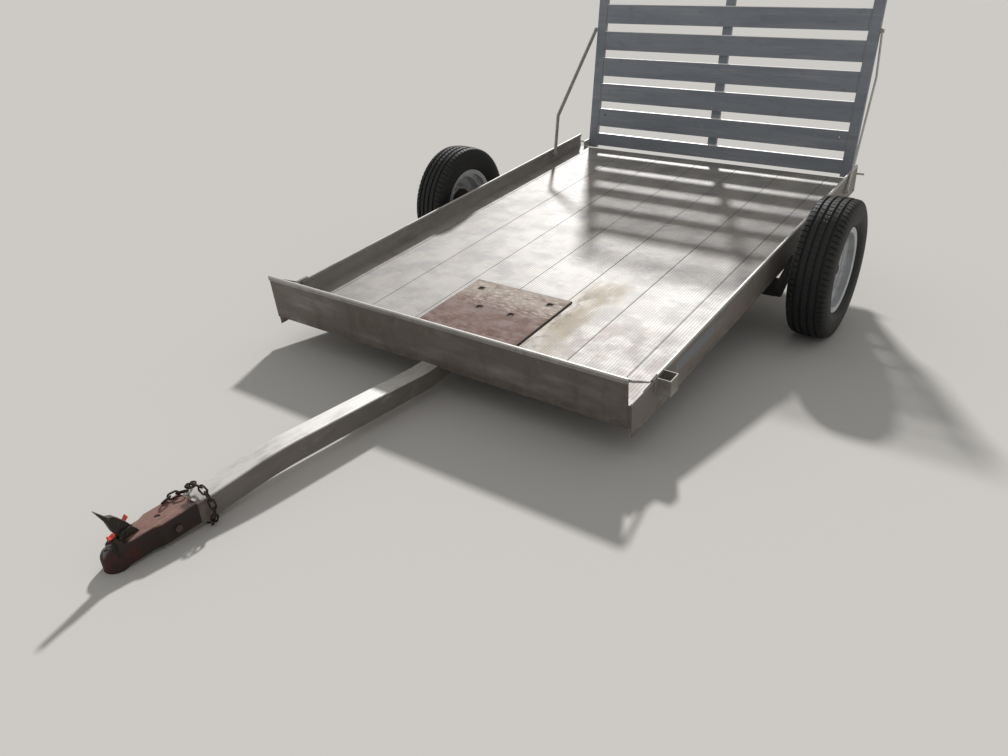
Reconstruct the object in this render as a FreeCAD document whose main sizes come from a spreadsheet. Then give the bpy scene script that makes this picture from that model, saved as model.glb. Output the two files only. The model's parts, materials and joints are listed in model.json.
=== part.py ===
import FreeCAD, Part
import math
import os
import Sketcher

# Single axle aluminium utility trailer, in millimetres.
# The pieces are drawn in the trailer's own frame: X across, Y rearwards from the front of the
# front board, Z up from the deck surface. One common pose then lays the trailer down as it
# parks, on its two tyres and the nose of its coupler.

Vector = FreeCAD.Vector
Rotation = FreeCAD.Rotation
Placement = FreeCAD.Placement

DOC = FreeCAD.newDocument("utility_trailer")
SHEET = DOC.addObject("Spreadsheet::Sheet", "dim")

# Driving dimensions: name, value, what it is
DRIVING = [
    ("frame_width", 1656, "outside of one side rail to the outside of the other"),
    ("rail_end", 2483, "front of the front board to the rear end of the rails"),
    ("rail_web", 4, "thickness of a side rail's web"),
    ("rail_top", 78, "rail top above the deck surface"),
    ("rail_bottom", 60, "rail bottom below the deck surface"),
    ("rail_lip_width", 11, "width of the rail's rolled top lip"),
    ("rail_lip_height", 15, "height of the rail's rolled top lip"),
    ("rail_lip_start", 152, "where the rolled lip begins behind the front board"),
    ("lip_round", 4, "rounding of the rolled lips"),
    ("board_left_over", 1, "front board past the outside of the left rail"),
    ("board_right_short", 12, "front board short of the outside of the right rail"),
    ("board_web", 4, "thickness of the front board's web"),
    ("board_top", 161, "front board top above the deck surface"),
    ("board_bottom", 25, "front board bottom below the deck surface"),
    ("board_notch_room", 1, "room beside the tongue in the board's notch"),
    ("board_lip_depth", 12, "depth of the board's rolled lip"),
    ("board_lip_height", 18, "height of the board's rolled lip"),
    ("board_lip_proud", 4, "how far the lip stands in front of the web"),
    ("deck_depth", 18, "depth of a deck plank"),
    ("plank_skin", 3, "top skin of a deck plank"),
    ("plank_leg", 3, "thickness of a plank's legs"),
    ("plank_foot", 14, "width of the foot under a plank's leg"),
    ("plank_gap", 0.8, "seam between two planks"),
    ("plank_first", 88, "width of the cut first plank beside the left rail"),
    ("plank_last", 133.8, "width of the cut last plank beside the right rail"),
    ("sill_web", 4, "thickness of the rear sill"),
    ("sill_flange", 30, "width of the sill's lower flange"),
    ("member_height", 42, "height of a cross-member"),
    ("member_width", 50, "width of a cross-member"),
    ("member_wall", 4, "wall of a cross-member"),
    ("tongue_size", 76, "outside of the square tongue tube"),
    ("tongue_wall", 5, "wall of the tongue tube"),
    ("tongue_corner", 7, "outer corner radius of the tongue tube"),
    ("tongue_rear_bend", 0, "where the rear bend begins ahead of the front board"),
    ("tongue_rear_radius", 592, "radius of the rear bend at the tube's middle"),
    ("tongue_angle", 8.2, "rise of the tongue's slope, degrees"),
    ("tongue_front_bend", 645, "where the front bend begins ahead of the front board"),
    ("tongue_front_radius", 1555, "radius of the front bend at the tube's middle"),
    ("tongue_front_angle", 1.4, "rise of the tongue's front run, degrees"),
    ("tongue_tip_bend", 930, "where the bent tip begins ahead of the front board"),
    ("tongue_tip_radius", 1500, "radius of the tip's bend at the tube's middle"),
    ("tongue_tip_angle", 4, "rise of the bent tip, degrees"),
    ("tongue_front", 1130, "front end of the tongue ahead of the front board"),
    ("coupler_nose", 153.5, "nose of the coupler ahead of the tongue's end"),
    ("coupler_lap", 109, "how far the coupler reaches back over the tongue"),
    ("coupler_wall", 5, "wall of the coupler"),
    ("coupler_depth", 60, "depth of the coupler's sides below the tongue's top"),
    ("nose_depth", 65, "depth of the nose's skirt below the tongue's top"),
    ("nose_slope", 20, "length of the slope from the neck's top down to the nose"),
    ("nose_drop", 12, "foot of that slope below the tongue's top"),
    ("shoulder_gap", 1, "tongue's end to the shoulders where the coupler narrows"),
    ("shoulder_length", 22, "length of the coupler's shoulders"),
    ("coupler_fit", 0.2, "room between coupler and tongue, each side"),
    ("coupler_edge", 6, "rounding of the coupler's top edges"),
    ("ball_radius", 25.6, "radius of the socket for the hitch ball"),
    ("socket_length", 26, "straight part of the socket"),
    ("dome_wall", 7.9, "wall of the dome over the socket"),
    ("socket_mouth", 3, "how much wider the socket's mouth is than the socket"),
    ("coupler_hole", 8, "radius of the hole in the coupler's top"),
    ("coupler_hole_back", 94, "coupler hole in front of the coupler's rear end"),
    ("coupler_bolt", 6, "radius of the coupler's cross bolt"),
    ("coupler_bolt_head", 9.5, "radius of the cross bolt's head and nut"),
    ("coupler_bolt_thick", 7.8, "thickness of the cross bolt's head and nut"),
    ("coupler_bolt_back", 70, "cross bolt in front of the coupler's rear end"),
    ("coupler_bolt_drop", 32, "cross bolt below the tongue's top"),
    ("latch_ahead", 80, "latch pin ahead of the tongue's end"),
    ("latch_up", 12, "latch pin above the coupler's top"),
    ("latch_width", 16, "width of the latch lever"),
    ("latch_ear", 5, "thickness of a latch ear"),
    ("latch_pin", 4, "radius of the latch pin"),
    ("wheel_out", 166, "wheel middle outside the rail's outside"),
    ("wheel_back", 1466, "wheel axis behind the front of the front board"),
    ("wheel_drop", 43, "wheel axis below the deck surface"),
    ("tyre_radius", 299, "outside radius of a tyre"),
    ("tyre_width", 172, "section width of a tyre"),
    ("tread_width", 136, "width of the tread"),
    ("tyre_wall", 11, "thickness of a tyre's wall"),
    ("tread_thick", 15, "thickness of the tread"),
    ("rim_seat", 165, "bead seat radius of the rim"),
    ("rim_flange", 182, "radius of the rim's lip"),
    ("rim_width", 114, "bead seat to bead seat"),
    ("rim_lip", 8, "thickness of the rim's rolled lip"),
    ("rim_wall", 4, "thickness of the rim's barrel and disc"),
    ("rim_well", 144, "radius of the rim's drop centre"),
    ("rim_well_width", 52, "width of the drop centre"),
    ("disc_radius", 92, "radius where the dished disc turns out of its flat"),
    ("disc_dish", 22, "how far the disc's face is dished out of the flat"),
    ("pilot_radius", 33, "radius of the hole in the middle of the disc"),
    ("lug_circle", 57.15, "radius of the circle of the wheel nuts"),
    ("lug_hole", 7, "radius of a wheel stud's hole"),
    ("lug_count", 5, "wheel nuts on a wheel"),
    ("lug_nut", 9.5, "radius of a wheel nut across its flats"),
    ("lug_nut_height", 16, "height of a wheel nut"),
    ("hub_flange", 72, "radius of the hub's flange"),
    ("hub_flange_thick", 9, "thickness of the hub's flange"),
    ("hub_barrel", 32, "radius of the hub's barrel"),
    ("hub_inner", 128, "inner end of the hub from the disc"),
    ("hub_cap", 25, "radius of the dust cap"),
    ("hub_cap_length", 42, "outer end of the dust cap from the disc"),
    ("spindle_radius", 17, "radius of the spindle"),
    ("spindle_fit", 0.05, "running clearance of the spindle in the hub"),
    ("axle_tube", 60, "outside of the square axle tube"),
    ("axle_wall", 5, "wall of the axle tube"),
    ("axle_overhang", 10, "axle tube past the outside of a rail"),
    ("arm_length", 162, "axle tube's middle to the spindle"),
    ("arm_angle", 22.5, "arm above the level, degrees"),
    ("arm_thick", 20, "thickness of an arm"),
    ("arm_root", 38, "radius of the arm's root"),
    ("arm_tip", 27, "radius of the arm's tip"),
    ("pad_width", 60, "width of the pad between axle tube and frame"),
    ("pad_length", 130, "length of the pad between axle tube and frame"),
    ("plate_width", 472, "width of the steel plate on the deck"),
    ("plate_length", 500, "length of the steel plate"),
    ("plate_thick", 6, "thickness of the steel plate"),
    ("plate_rear", 622, "rear edge of the plate behind the front of the board"),
    ("plate_shift", 2, "plate's middle to the right of the trailer's middle"),
    ("plate_hole", 13, "radius of a hole in the plate"),
    ("plate_rear_spacing", 341, "between the two rear holes"),
    ("plate_rear_edge", 66, "rear holes from the rear edge"),
    ("plate_front_spacing", 153, "between the two front holes"),
    ("plate_front_edge", 207, "front holes from the rear edge"),
    ("pocket_front", 169, "front of the stake pocket behind the front of the board"),
    ("pocket_width", 58, "outside width of the stake pocket"),
    ("pocket_depth", 52, "how far the stake pocket stands out of the rail"),
    ("pocket_height", 62, "height of the stake pocket"),
    ("pocket_top", 75, "stake pocket's top above the deck surface"),
    ("pocket_wall", 3, "wall of the stake pocket"),
    ("tie_width", 14, "width of a corner tie bar"),
    ("tie_thick", 6, "thickness of a corner tie bar"),
    ("tie_foot", 30, "length of the tie bar's foot on the rail"),
    ("tie_reach", 26, "how far the tie bar's foot reaches in front of the rail's lip"),
    ("gate_lean", 11.12, "gate leans rearwards from square to the deck, degrees"),
    ("gate_inset", 39, "gate post's outside inside the rail's outside"),
    ("gate_pivot_back", 54, "gate pivot behind the rear end of the rails"),
    ("gate_pivot_up", 15, "gate pivot above the deck surface"),
    ("gate_height", 930, "top of the gate above its pivot"),
    ("gate_foot", 25, "gate posts below the pivot"),
    ("post_width", 53, "width of a gate post"),
    ("post_depth", 25, "depth of a gate post"),
    ("gate_wall", 3, "wall of the gate's tubes"),
    ("slat_pitch", 144.7, "slat to slat"),
    ("slat_height", 102, "height of a full slat"),
    ("slat_first_top", 61.3, "top of the lowest slat above the pivot"),
    ("slat_first_height", 72, "height of the lowest slat"),
    ("slat_last_height", 58, "height of the top slat"),
    ("slat_count", 7, "number of slats"),
    ("slat_hole", 5, "radius of the two holes in the second slat"),
    ("slat_hole_in", 44, "slat hole from the slat's end"),
    ("slat_hole_drop", 35, "slat hole below the slat's top"),
    ("upright_width", 50, "width of the middle upright"),
    ("upright_depth", 20, "depth of the middle upright"),
    ("hinge_pin", 6, "radius of a gate hinge pin"),
    ("hinge_fit", 0.05, "running clearance of a hinge pin in its post"),
    ("hinge_collar", 9, "radius of the collar between post and bracket"),
    ("hinge_head", 11, "radius of the nut of a hinge pin"),
    ("hinge_head_length", 8, "length of the nut of a hinge pin"),
    ("hinge_tail", 50, "hinge pin past the outside of its bracket"),
    ("bracket_gap", 7, "gate post to hinge bracket"),
    ("bracket_thick", 6, "thickness of a hinge bracket"),
    ("bracket_round", 18, "radius of the bracket round the pin"),
    ("stay_width", 25, "width of a stay"),
    ("stay_thick", 6, "thickness of a stay"),
    ("stay_short", 215, "short leg of a stay, hole to bend"),
    ("stay_long", 605, "long leg of a stay, bend to hole"),
    ("stay_bend", 36.5, "bend of a stay, degrees"),
    ("stay_hole", 5.05, "radius of the holes in a stay"),
    ("stay_pin", 5, "radius of a stay's pin"),
    ("stay_head", 9, "radius of the head of a stay's pin"),
    ("stay_head_length", 6, "length of the head of a stay's pin"),
    ("stay_washer", 11, "radius of the spacers beside a stay"),
    ("seat_gap", 0.3, "room where two bodies face each other"),
    ("left_stay_back", 2155, "lower pin of the left stay behind the front of the board"),
    ("left_stay_up", 50, "lower pin of the left stay above the deck surface"),
    ("right_stay_back", 2278, "lower pin of the right stay behind the front of the board"),
    ("right_stay_up", 2, "lower pin of the right stay above the deck surface"),
    ("left_stay_room", 16, "left stay to the rail's web outside it"),
    ("right_stay_room", 10, "right stay to the rail inside it, at its lower pin"),
    ("right_stay_top_room", 6, "right stay to the gate post inside it, at its upper pin"),
    ("chain_wire", 5.5, "thickness of the safety chain's links"),
    ("chain_link_width", 22, "width of a chain link"),
    ("chain_play", 2, "play between two chain links"),
    ("chain_links", 16, "links in the chain's loop round the tongue"),
    ("chain_gap", 33, "coupler's rear end to the middle of the loop"),
    ("chain_seat", 0.6, "chain link to what it lies on"),
]


def fill_sheet():
    """Write the driving dimensions into the sheet, one row each."""
    for row, (alias, number, meaning) in enumerate(DRIVING, start=1):
        SHEET.set("A%d" % row, alias)
        SHEET.set("B%d" % row, str(number))
        SHEET.set("C%d" % row, meaning)
        SHEET.setAlias("B%d" % row, alias)
    DOC.recompute()


class Sizes:
    """Reads the sheet by alias."""

    def __getattr__(self, alias):
        return float(SHEET.get(alias))


fill_sheet()
dim = Sizes()


def number(expression):
    """Value of an expression over the sheet's aliases."""
    return float(SHEET.evalExpression(expression))


# Helpers for sketches and features
def plane_of(body, role):
    for feature in body.Origin.OriginFeatures:
        if feature.Role == role:
            return feature
    raise ValueError(role)


def new_body(label):
    body = DOC.addObject("PartDesign::Body", label)
    body.Label = label
    return body


def sketch_on(body, role, offset="0"):
    """Sketch on an origin plane of the body, moved along the plane's normal."""
    sketch = body.newObject("Sketcher::SketchObject", body.Label + "_sketch")
    sketch.AttachmentSupport = [(plane_of(body, role), "")]
    sketch.MapMode = "FlatFace"
    sketch.setExpression("AttachmentOffset.Base.z", offset)
    return sketch


def tie_point(sketch, geometry, position, across, up):
    """Tie one point of a sketch to two expressions."""
    for kind, expression in (("DistanceX", across), ("DistanceY", up)):
        constraint = Sketcher.Constraint(kind, -1, 1, geometry, position, number(expression))
        index = sketch.addConstraint(constraint)
        sketch.setExpression("Constraints[%d]" % index, expression)


def polygon(sketch, corners):
    """Closed outline through corners given as pairs of expressions."""
    points = [Vector(number(across), number(up), 0) for across, up in corners]
    first = sketch.GeometryCount
    count = len(points)
    for i in range(count):
        sketch.addGeometry(Part.LineSegment(points[i], points[(i + 1) % count]))
    for i in range(count):
        sketch.addConstraint(Sketcher.Constraint("Coincident", first + i, 2, first + (i + 1) % count, 1))
    for i, (across, up) in enumerate(corners):
        tie_point(sketch, first + i, 1, across, up)


def rectangle(sketch, left, bottom, right, top):
    polygon(sketch, [(left, bottom), (right, bottom), (right, top), (left, top)])


def circle(sketch, across, up, radius):
    centre = Vector(number(across), number(up), 0)
    index = sketch.addGeometry(Part.Circle(centre, Vector(0, 0, 1), number(radius)))
    tie_point(sketch, index, 3, across, up)
    constraint = sketch.addConstraint(Sketcher.Constraint("Radius", index, number(radius)))
    sketch.setExpression("Constraints[%d]" % constraint, radius)


def pad(body, sketch, length, reverse=False):
    feature = body.newObject("PartDesign::Pad", body.Label + "_pad")
    feature.Profile = sketch
    feature.setExpression("Length", length)
    feature.Reversed = reverse
    sketch.Visibility = False
    return feature


def pocket(body, sketch, length, reverse=False):
    """Cut along the sketch's normal; the cut must take something away."""
    DOC.recompute()
    before = body.Shape.Volume
    feature = body.newObject("PartDesign::Pocket", body.Label + "_pocket")
    feature.Profile = sketch
    feature.setExpression("Length", length)
    feature.Reversed = reverse
    DOC.recompute()
    if not body.Shape.Volume < before:
        raise RuntimeError("pocket cuts nothing: " + body.Label)
    return feature


def revolve(body, sketch, axis="H_Axis"):
    feature = body.newObject("PartDesign::Revolution", body.Label + "_turned")
    feature.Profile = sketch
    feature.ReferenceAxis = (sketch, [axis])
    feature.Angle = 360
    return feature


def ring_of(body, feature, role, count):
    """Repeat one feature round an origin axis."""
    pattern = body.newObject("PartDesign::PolarPattern", body.Label + "_ring")
    pattern.Originals = [feature]
    pattern.Axis = (plane_of(body, role), [""])
    pattern.Angle = 360
    pattern.setExpression("Occurrences", count)
    body.Tip = pattern
    return pattern


def round_edges(body, feature, radius, chosen):
    """Fillet the edges of a feature that a test on the edge picks out."""
    DOC.recompute()
    names = ["Edge%d" % (i + 1) for i, edge in enumerate(feature.Shape.Edges) if chosen(edge)]
    fillet = body.newObject("PartDesign::Fillet", body.Label + "_round")
    fillet.Base = (feature, names)
    fillet.setExpression("Radius", radius)
    return fillet


def spans(edge, axis, length):
    """True for a straight edge of about this length along an axis."""
    box = edge.BoundBox
    sides = (box.XLength, box.YLength, box.ZLength)
    return abs(sides[axis] - length) < 0.01 and sum(sides) - sides[axis] < 0.01


# Helpers for primitives, placed by expressions
def set_base(thing, base):
    for axis, expression in zip("xyz", base):
        thing.setExpression("Placement.Base." + axis, expression)


def block(base, size):
    """Box from its low corner."""
    thing = DOC.addObject("Part::Box", "block")
    for side, expression in zip(("Length", "Width", "Height"), size):
        thing.setExpression(side, expression)
    set_base(thing, base)
    return thing


def rod(base, radius, length):
    """Cylinder along X from the middle of its low end."""
    thing = DOC.addObject("Part::Cylinder", "rod")
    thing.setExpression("Radius", radius)
    thing.setExpression("Height", length)
    thing.Placement = Placement(Vector(), Rotation(Vector(0, 1, 0), 90))
    set_base(thing, base)
    return thing


def free_rod(placement, radius, length):
    """Cylinder along X of a placement of its own."""
    thing = DOC.addObject("Part::Cylinder", "rod")
    thing.setExpression("Radius", radius)
    thing.setExpression("Height", length)
    thing.Placement = placement.multiply(Placement(Vector(), Rotation(Vector(0, 1, 0), 90)))
    return thing


def fuse(shapes, label="fused"):
    thing = DOC.addObject("Part::MultiFuse", label)
    thing.Label = label
    thing.Shapes = shapes
    return thing


def cut(base, tool, label="cut"):
    thing = DOC.addObject("Part::Cut", label)
    thing.Label = label
    thing.Base = base
    thing.Tool = tool
    return thing


def together(shapes, label):
    """Solids of one node that don't touch."""
    thing = DOC.addObject("Part::Compound", label)
    thing.Label = label
    thing.Links = shapes
    return thing


SUBPARTS = []


def place(thing, base=Vector(), turn=Rotation()):
    """Give a sub-part its place in the trailer frame, and keep it."""
    thing.Placement = POSE.multiply(Placement(base, turn))
    SUBPARTS.append(thing)


# Frame and deck
def side_rail(label, side):
    """Flat web with a rolled lip on top, cut back over the front corner; side is -1 or 1."""
    body = new_body(label)
    web = sketch_on(body, "XZ_Plane", "-dim.board_web")
    outer = "%d * dim.frame_width / 2" % side
    inner = "%d * (dim.frame_width / 2 - dim.rail_web)" % side
    rectangle(web, inner, "-dim.rail_bottom", outer, "dim.rail_top - dim.rail_lip_height / 2")
    pad(body, web, "dim.rail_end - dim.board_web", reverse=True)
    lip = sketch_on(body, "XZ_Plane", "-dim.rail_lip_start")
    inside = "%d * (dim.frame_width / 2 - dim.rail_lip_width)" % side
    rectangle(lip, inside, "dim.rail_top - dim.rail_lip_height", outer, "dim.rail_top")
    rolled = pad(body, lip, "dim.rail_end - dim.rail_lip_start", reverse=True)
    length = dim.rail_end - dim.rail_lip_start
    level = dim.rail_top - dim.rail_lip_height
    round_edges(body, rolled, "dim.lip_round",
                lambda edge: spans(edge, 1, length) and edge.BoundBox.ZMin > level + 1)
    if side < 0:
        bore_for_pin(body)
    place(body)


def bore_for_pin(body):
    """Hole through the left rail's web for the stay's lower pin."""
    hole = sketch_on(body, "YZ_Plane", "-dim.frame_width / 2 - 1")
    back, up = STAY_FEET[-1]
    circle(hole, back, up, "dim.stay_pin + dim.seat_gap")
    pocket(body, hole, "dim.rail_web + 2", reverse=True)


STAY_FEET = {
    -1: ("dim.left_stay_back", "dim.left_stay_up"),
    1: ("dim.right_stay_back", "dim.right_stay_up"),
}


def front_board():
    """Upright board across the front, with a rolled lip proud of its face and notched over the tongue."""
    body = new_body("front_board")
    left = "-dim.frame_width / 2 - dim.board_left_over"
    across = "dim.frame_width + dim.board_left_over - dim.board_right_short"
    web = sketch_on(body, "YZ_Plane", left)
    rectangle(web, "0", "-dim.board_bottom", "dim.board_web", "dim.board_top - dim.board_lip_height / 2")
    pad(body, web, across)
    lip = sketch_on(body, "YZ_Plane", left)
    rectangle(lip, "-dim.board_lip_proud", "dim.board_top - dim.board_lip_height",
              "dim.board_lip_depth - dim.board_lip_proud", "dim.board_top")
    rolled = pad(body, lip, across)
    length = number(across)
    level = dim.board_top - dim.board_lip_height
    round_edges(body, rolled, "dim.lip_round",
                lambda edge: spans(edge, 0, length) and edge.BoundBox.ZMin > level + 1)
    notch = sketch_on(body, "XZ_Plane", "1")
    half = "dim.tongue_size / 2 + dim.board_notch_room"
    rectangle(notch, "-(%s)" % half, "-dim.board_bottom - 1", half, "-dim.deck_depth")
    pocket(body, notch, "dim.board_web + 2")
    place(body)


def plank_edges():
    """Expressions of every plank's left and right edge, outer planks up to the rails."""
    left = "dim.rail_web - dim.frame_width / 2"
    right = "dim.frame_width / 2 - dim.rail_web"
    whole = 6
    pitch = "(dim.frame_width - 2 * dim.rail_web - dim.plank_first - dim.plank_last) / %d" % whole
    seams = ["%s + dim.plank_first + %d * %s" % (left, i, pitch) for i in range(whole + 1)]
    edges = [left] + seams + [right]
    planks = []
    for i in range(len(edges) - 1):
        low = edges[i] if i == 0 else edges[i] + " + dim.plank_gap / 2"
        high = edges[i + 1] if i == len(edges) - 2 else edges[i + 1] + " - dim.plank_gap / 2"
        planks.append((low, high))
    return planks


def deck_plank(label, low, high):
    """Top skin on two legs with feet turned inwards."""
    body = new_body(label)
    section = sketch_on(body, "XZ_Plane", "-dim.board_web")
    bottom = "-dim.deck_depth"
    foot = "dim.plank_leg - dim.deck_depth"
    polygon(section, [
        (low, "0"), (low, bottom),
        (low + " + dim.plank_foot", bottom), (low + " + dim.plank_foot", foot),
        (low + " + dim.plank_leg", foot), (low + " + dim.plank_leg", "-dim.plank_skin"),
        (high + " - dim.plank_leg", "-dim.plank_skin"), (high + " - dim.plank_leg", foot),
        (high + " - dim.plank_foot", foot), (high + " - dim.plank_foot", bottom),
        (high, bottom), (high, "0"),
    ])
    pad(body, section, "dim.rail_end - dim.sill_web - dim.board_web", reverse=True)
    place(body)


def rear_sill():
    """Angle across the rear ends of the planks, down to the bottom of the rails."""
    body = new_body("rear_sill")
    section = sketch_on(body, "YZ_Plane", "dim.rail_web - dim.frame_width / 2")
    polygon(section, [
        ("dim.rail_end", "0"), ("dim.rail_end", "-dim.rail_bottom"),
        ("dim.rail_end - dim.sill_flange", "-dim.rail_bottom"),
        ("dim.rail_end - dim.sill_flange", "dim.sill_web - dim.rail_bottom"),
        ("dim.rail_end - dim.sill_web", "dim.sill_web - dim.rail_bottom"),
        ("dim.rail_end - dim.sill_web", "0"),
    ])
    pad(body, section, "dim.frame_width - 2 * dim.rail_web")
    place(body)


# Middle of the torsion axle's tube
AXLE_BACK = "(dim.wheel_back - dim.arm_length * cos(dim.arm_angle * 1 deg))"
AXLE_UP = "(-dim.wheel_drop - dim.arm_length * sin(dim.arm_angle * 1 deg))"

# Cross-members: middle behind the front of the board, split by the tongue
CROSS_MEMBERS = [
    ("0.23 * dim.wheel_back", True),
    ("0.56 * dim.wheel_back", True),
    (AXLE_BACK, False),
    ("0.75 * dim.rail_end", False),
    ("0.93 * dim.rail_end", False),
]


def member_run(body, back, low, high):
    """Channel, open to the rear, from one X to another."""
    section = sketch_on(body, "YZ_Plane", low)
    front = back + " - dim.member_width / 2"
    rear = back + " + dim.member_width / 2"
    top = "-dim.deck_depth"
    bottom = "-dim.deck_depth - dim.member_height"
    polygon(section, [
        (front, top), (front, bottom), (rear, bottom), (rear, bottom + " + dim.member_wall"),
        (front + " + dim.member_wall", bottom + " + dim.member_wall"),
        (front + " + dim.member_wall", top + " - dim.member_wall"),
        (rear, top + " - dim.member_wall"), (rear, top),
    ])
    return pad(body, section, "(" + high + ") - (" + low + ")")


def cross_members():
    """Under the planks from rail to rail, or in two halves beside the tongue."""
    rail_in = "dim.frame_width / 2 - dim.rail_web"
    whole = [("-(%s)" % rail_in, rail_in)]
    halves = [("-(%s)" % rail_in, "-dim.tongue_size / 2"), ("dim.tongue_size / 2", rail_in)]
    runs = []
    for back, split in CROSS_MEMBERS:
        for low, high in halves if split else whole:
            run = new_body("cross_member")
            member_run(run, back, low, high)
            runs.append(run)
    place(together(runs, "cross_members"))


# Tongue and coupler
# Bends of the tongue: where each begins ahead of the front board, its radius, the rise after it
TONGUE_BENDS = [
    ("tongue_rear_bend", "tongue_rear_radius", "tongue_angle"),
    ("tongue_front_bend", "tongue_front_radius", "tongue_front_angle"),
    ("tongue_tip_bend", "tongue_tip_radius", "tongue_tip_angle"),
]


def ahead_on_run(point, rise, ahead):
    """Point of a straight run that far ahead of the front board."""
    return Vector(0, -ahead, point.z + (point.y + ahead) * math.tan(rise))


def bend_point(start, radius, rise, next_rise, share):
    """Point on a bend after a share of its turn, from one rise to the next."""
    side = 1 if next_rise > rise else -1
    now = rise + share * (next_rise - rise)
    across = Vector(0, math.sin(rise) - math.sin(now), math.cos(rise) - math.cos(now))
    return start + across * (side * radius)


def tongue_path():
    """Middle line of the tongue, straight runs joined by bends, and the middle of its tip."""
    point = Vector(0, axle_tube_middle()[0] - dim.axle_tube / 2, -dim.deck_depth - dim.tongue_size / 2)
    rise = 0
    edges = []
    for begin, bend_radius, bend_rise in TONGUE_BENDS:
        start = ahead_on_run(point, rise, getattr(dim, begin))
        radius = getattr(dim, bend_radius)
        next_rise = math.radians(getattr(dim, bend_rise))
        middle = bend_point(start, radius, rise, next_rise, 0.5)
        end = bend_point(start, radius, rise, next_rise, 1)
        edges.append(Part.LineSegment(point, start).toShape())
        edges.append(Part.Arc(start, middle, end).toShape())
        point = end
        rise = next_rise
    tip = ahead_on_run(point, rise, dim.tongue_front)
    edges.append(Part.LineSegment(point, tip).toShape())
    return Part.Wire(edges), tip


def tip_frame():
    """Frame of the coupler: origin on the tongue's top at its front end, Y back along the tip."""
    turn = Rotation(Vector(1, 0, 0), -dim.tongue_tip_angle)
    wire, tip = tongue_path()
    return tip + turn.multVec(Vector(0, 0, dim.tongue_size / 2)), turn


def rounded_square(size, radius, back, up):
    """Square wire with round corners in the plane Y = back."""
    half = size / 2
    inner = half - radius
    corners = [(1, 1), (-1, 1), (-1, -1), (1, -1)]
    edges = []
    for i, (sx, sz) in enumerate(corners):
        nx, nz = corners[(i + 1) % 4]
        middle = Vector(sx * inner, back, up + sz * inner)
        diagonal = radius / math.sqrt(2)
        first = middle + (Vector(sx * radius, 0, 0) if sx == sz else Vector(0, 0, sz * radius))
        last = middle + (Vector(0, 0, sz * radius) if sx == sz else Vector(sx * radius, 0, 0))
        bend = middle + Vector(sx * diagonal, 0, sz * diagonal)
        edges.append(Part.Arc(first, bend, last).toShape())
        follow = Vector(nx * inner, back, up + nz * inner)
        start = follow + (Vector(nx * radius, 0, 0) if nx == nz else Vector(0, 0, nz * radius))
        edges.append(Part.LineSegment(last, start).toShape())
    return Part.Wire(edges)


def tongue():
    """Square tube swept along its bent middle line."""
    path, tip = tongue_path()
    start = path.Vertexes[0].Point
    skins = []
    for size, radius in ((dim.tongue_size, dim.tongue_corner),
                         (dim.tongue_size - 2 * dim.tongue_wall, dim.tongue_corner - dim.tongue_wall)):
        profile = rounded_square(size, radius, start.y, start.z)
        skins.append(path.makePipeShell([profile], True, False, 0))
    tube = DOC.addObject("Part::Feature", "tongue_tube")
    tube.Shape = skins[0].cut(skins[1])
    across = Placement(Vector(-dim.tongue_size, dim.coupler_lap - dim.coupler_bolt_back, -dim.coupler_bolt_drop),
                       Rotation())
    bolt = free_rod(Placement(*tip_frame()).multiply(across), "dim.coupler_bolt + dim.coupler_fit",
                    "2 * dim.tongue_size")
    place(cut(tube, bolt, "tongue"))


# The coupler is drawn in the tip's frame
COUPLER_HALF = "(dim.tongue_size / 2 + dim.coupler_fit + dim.coupler_wall)"
COUPLER_TOP = "(dim.coupler_fit + dim.coupler_wall)"
NOSE_RADIUS = "(dim.ball_radius + dim.dome_wall)"
BALL_BACK = "(%s - dim.coupler_nose)" % NOSE_RADIUS
BALL_UP = "(-%s)" % NOSE_RADIUS
BOLT_BACK = "(dim.coupler_lap - dim.coupler_bolt_back)"


def column(base, radius, height):
    """Upright cylinder from the middle of its foot."""
    thing = DOC.addObject("Part::Cylinder", "column")
    thing.setExpression("Radius", radius)
    thing.setExpression("Height", height)
    set_base(thing, base)
    return thing


def ball(base, radius):
    thing = DOC.addObject("Part::Sphere", "ball")
    thing.setExpression("Radius", radius)
    set_base(thing, base)
    return thing


def coupler_shell():
    """Pressed channel that narrows at its shoulders to a neck, whose top slopes down to the nose."""
    body = new_body("coupler_shell")
    plan = sketch_on(body, "XY_Plane", "-dim.coupler_depth")
    wide_end = "-dim.shoulder_gap"
    neck_end = "-dim.shoulder_gap - dim.shoulder_length"
    polygon(plan, [
        ("-" + COUPLER_HALF, "dim.coupler_lap"), ("-" + COUPLER_HALF, wide_end),
        ("-" + NOSE_RADIUS, neck_end), ("-" + NOSE_RADIUS, BALL_BACK),
        (NOSE_RADIUS, BALL_BACK), (NOSE_RADIUS, neck_end),
        (COUPLER_HALF, wide_end), (COUPLER_HALF, "dim.coupler_lap"),
    ])
    outer = pad(body, plan, "dim.coupler_depth + " + COUPLER_TOP)
    top = number(COUPLER_TOP)
    front = number(BALL_BACK)
    body.Tip = round_edges(body, outer, "dim.coupler_edge",
                           lambda edge: edge.BoundBox.ZMin > top - 0.01
                           and front + 1 < edge.BoundBox.YMax
                           and edge.BoundBox.YMin < dim.coupler_lap - 1)
    slope = sketch_on(body, "YZ_Plane", "-" + COUPLER_HALF)
    polygon(slope, [
        (BALL_BACK + " + dim.nose_slope", COUPLER_TOP + " + 1"), (BALL_BACK + " + dim.nose_slope", COUPLER_TOP),
        (BALL_BACK + " - 1", "-dim.nose_drop"), (BALL_BACK + " - 1", COUPLER_TOP + " + 1"),
    ])
    pocket(body, slope, "2 * " + COUPLER_HALF, reverse=True)
    return body


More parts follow.
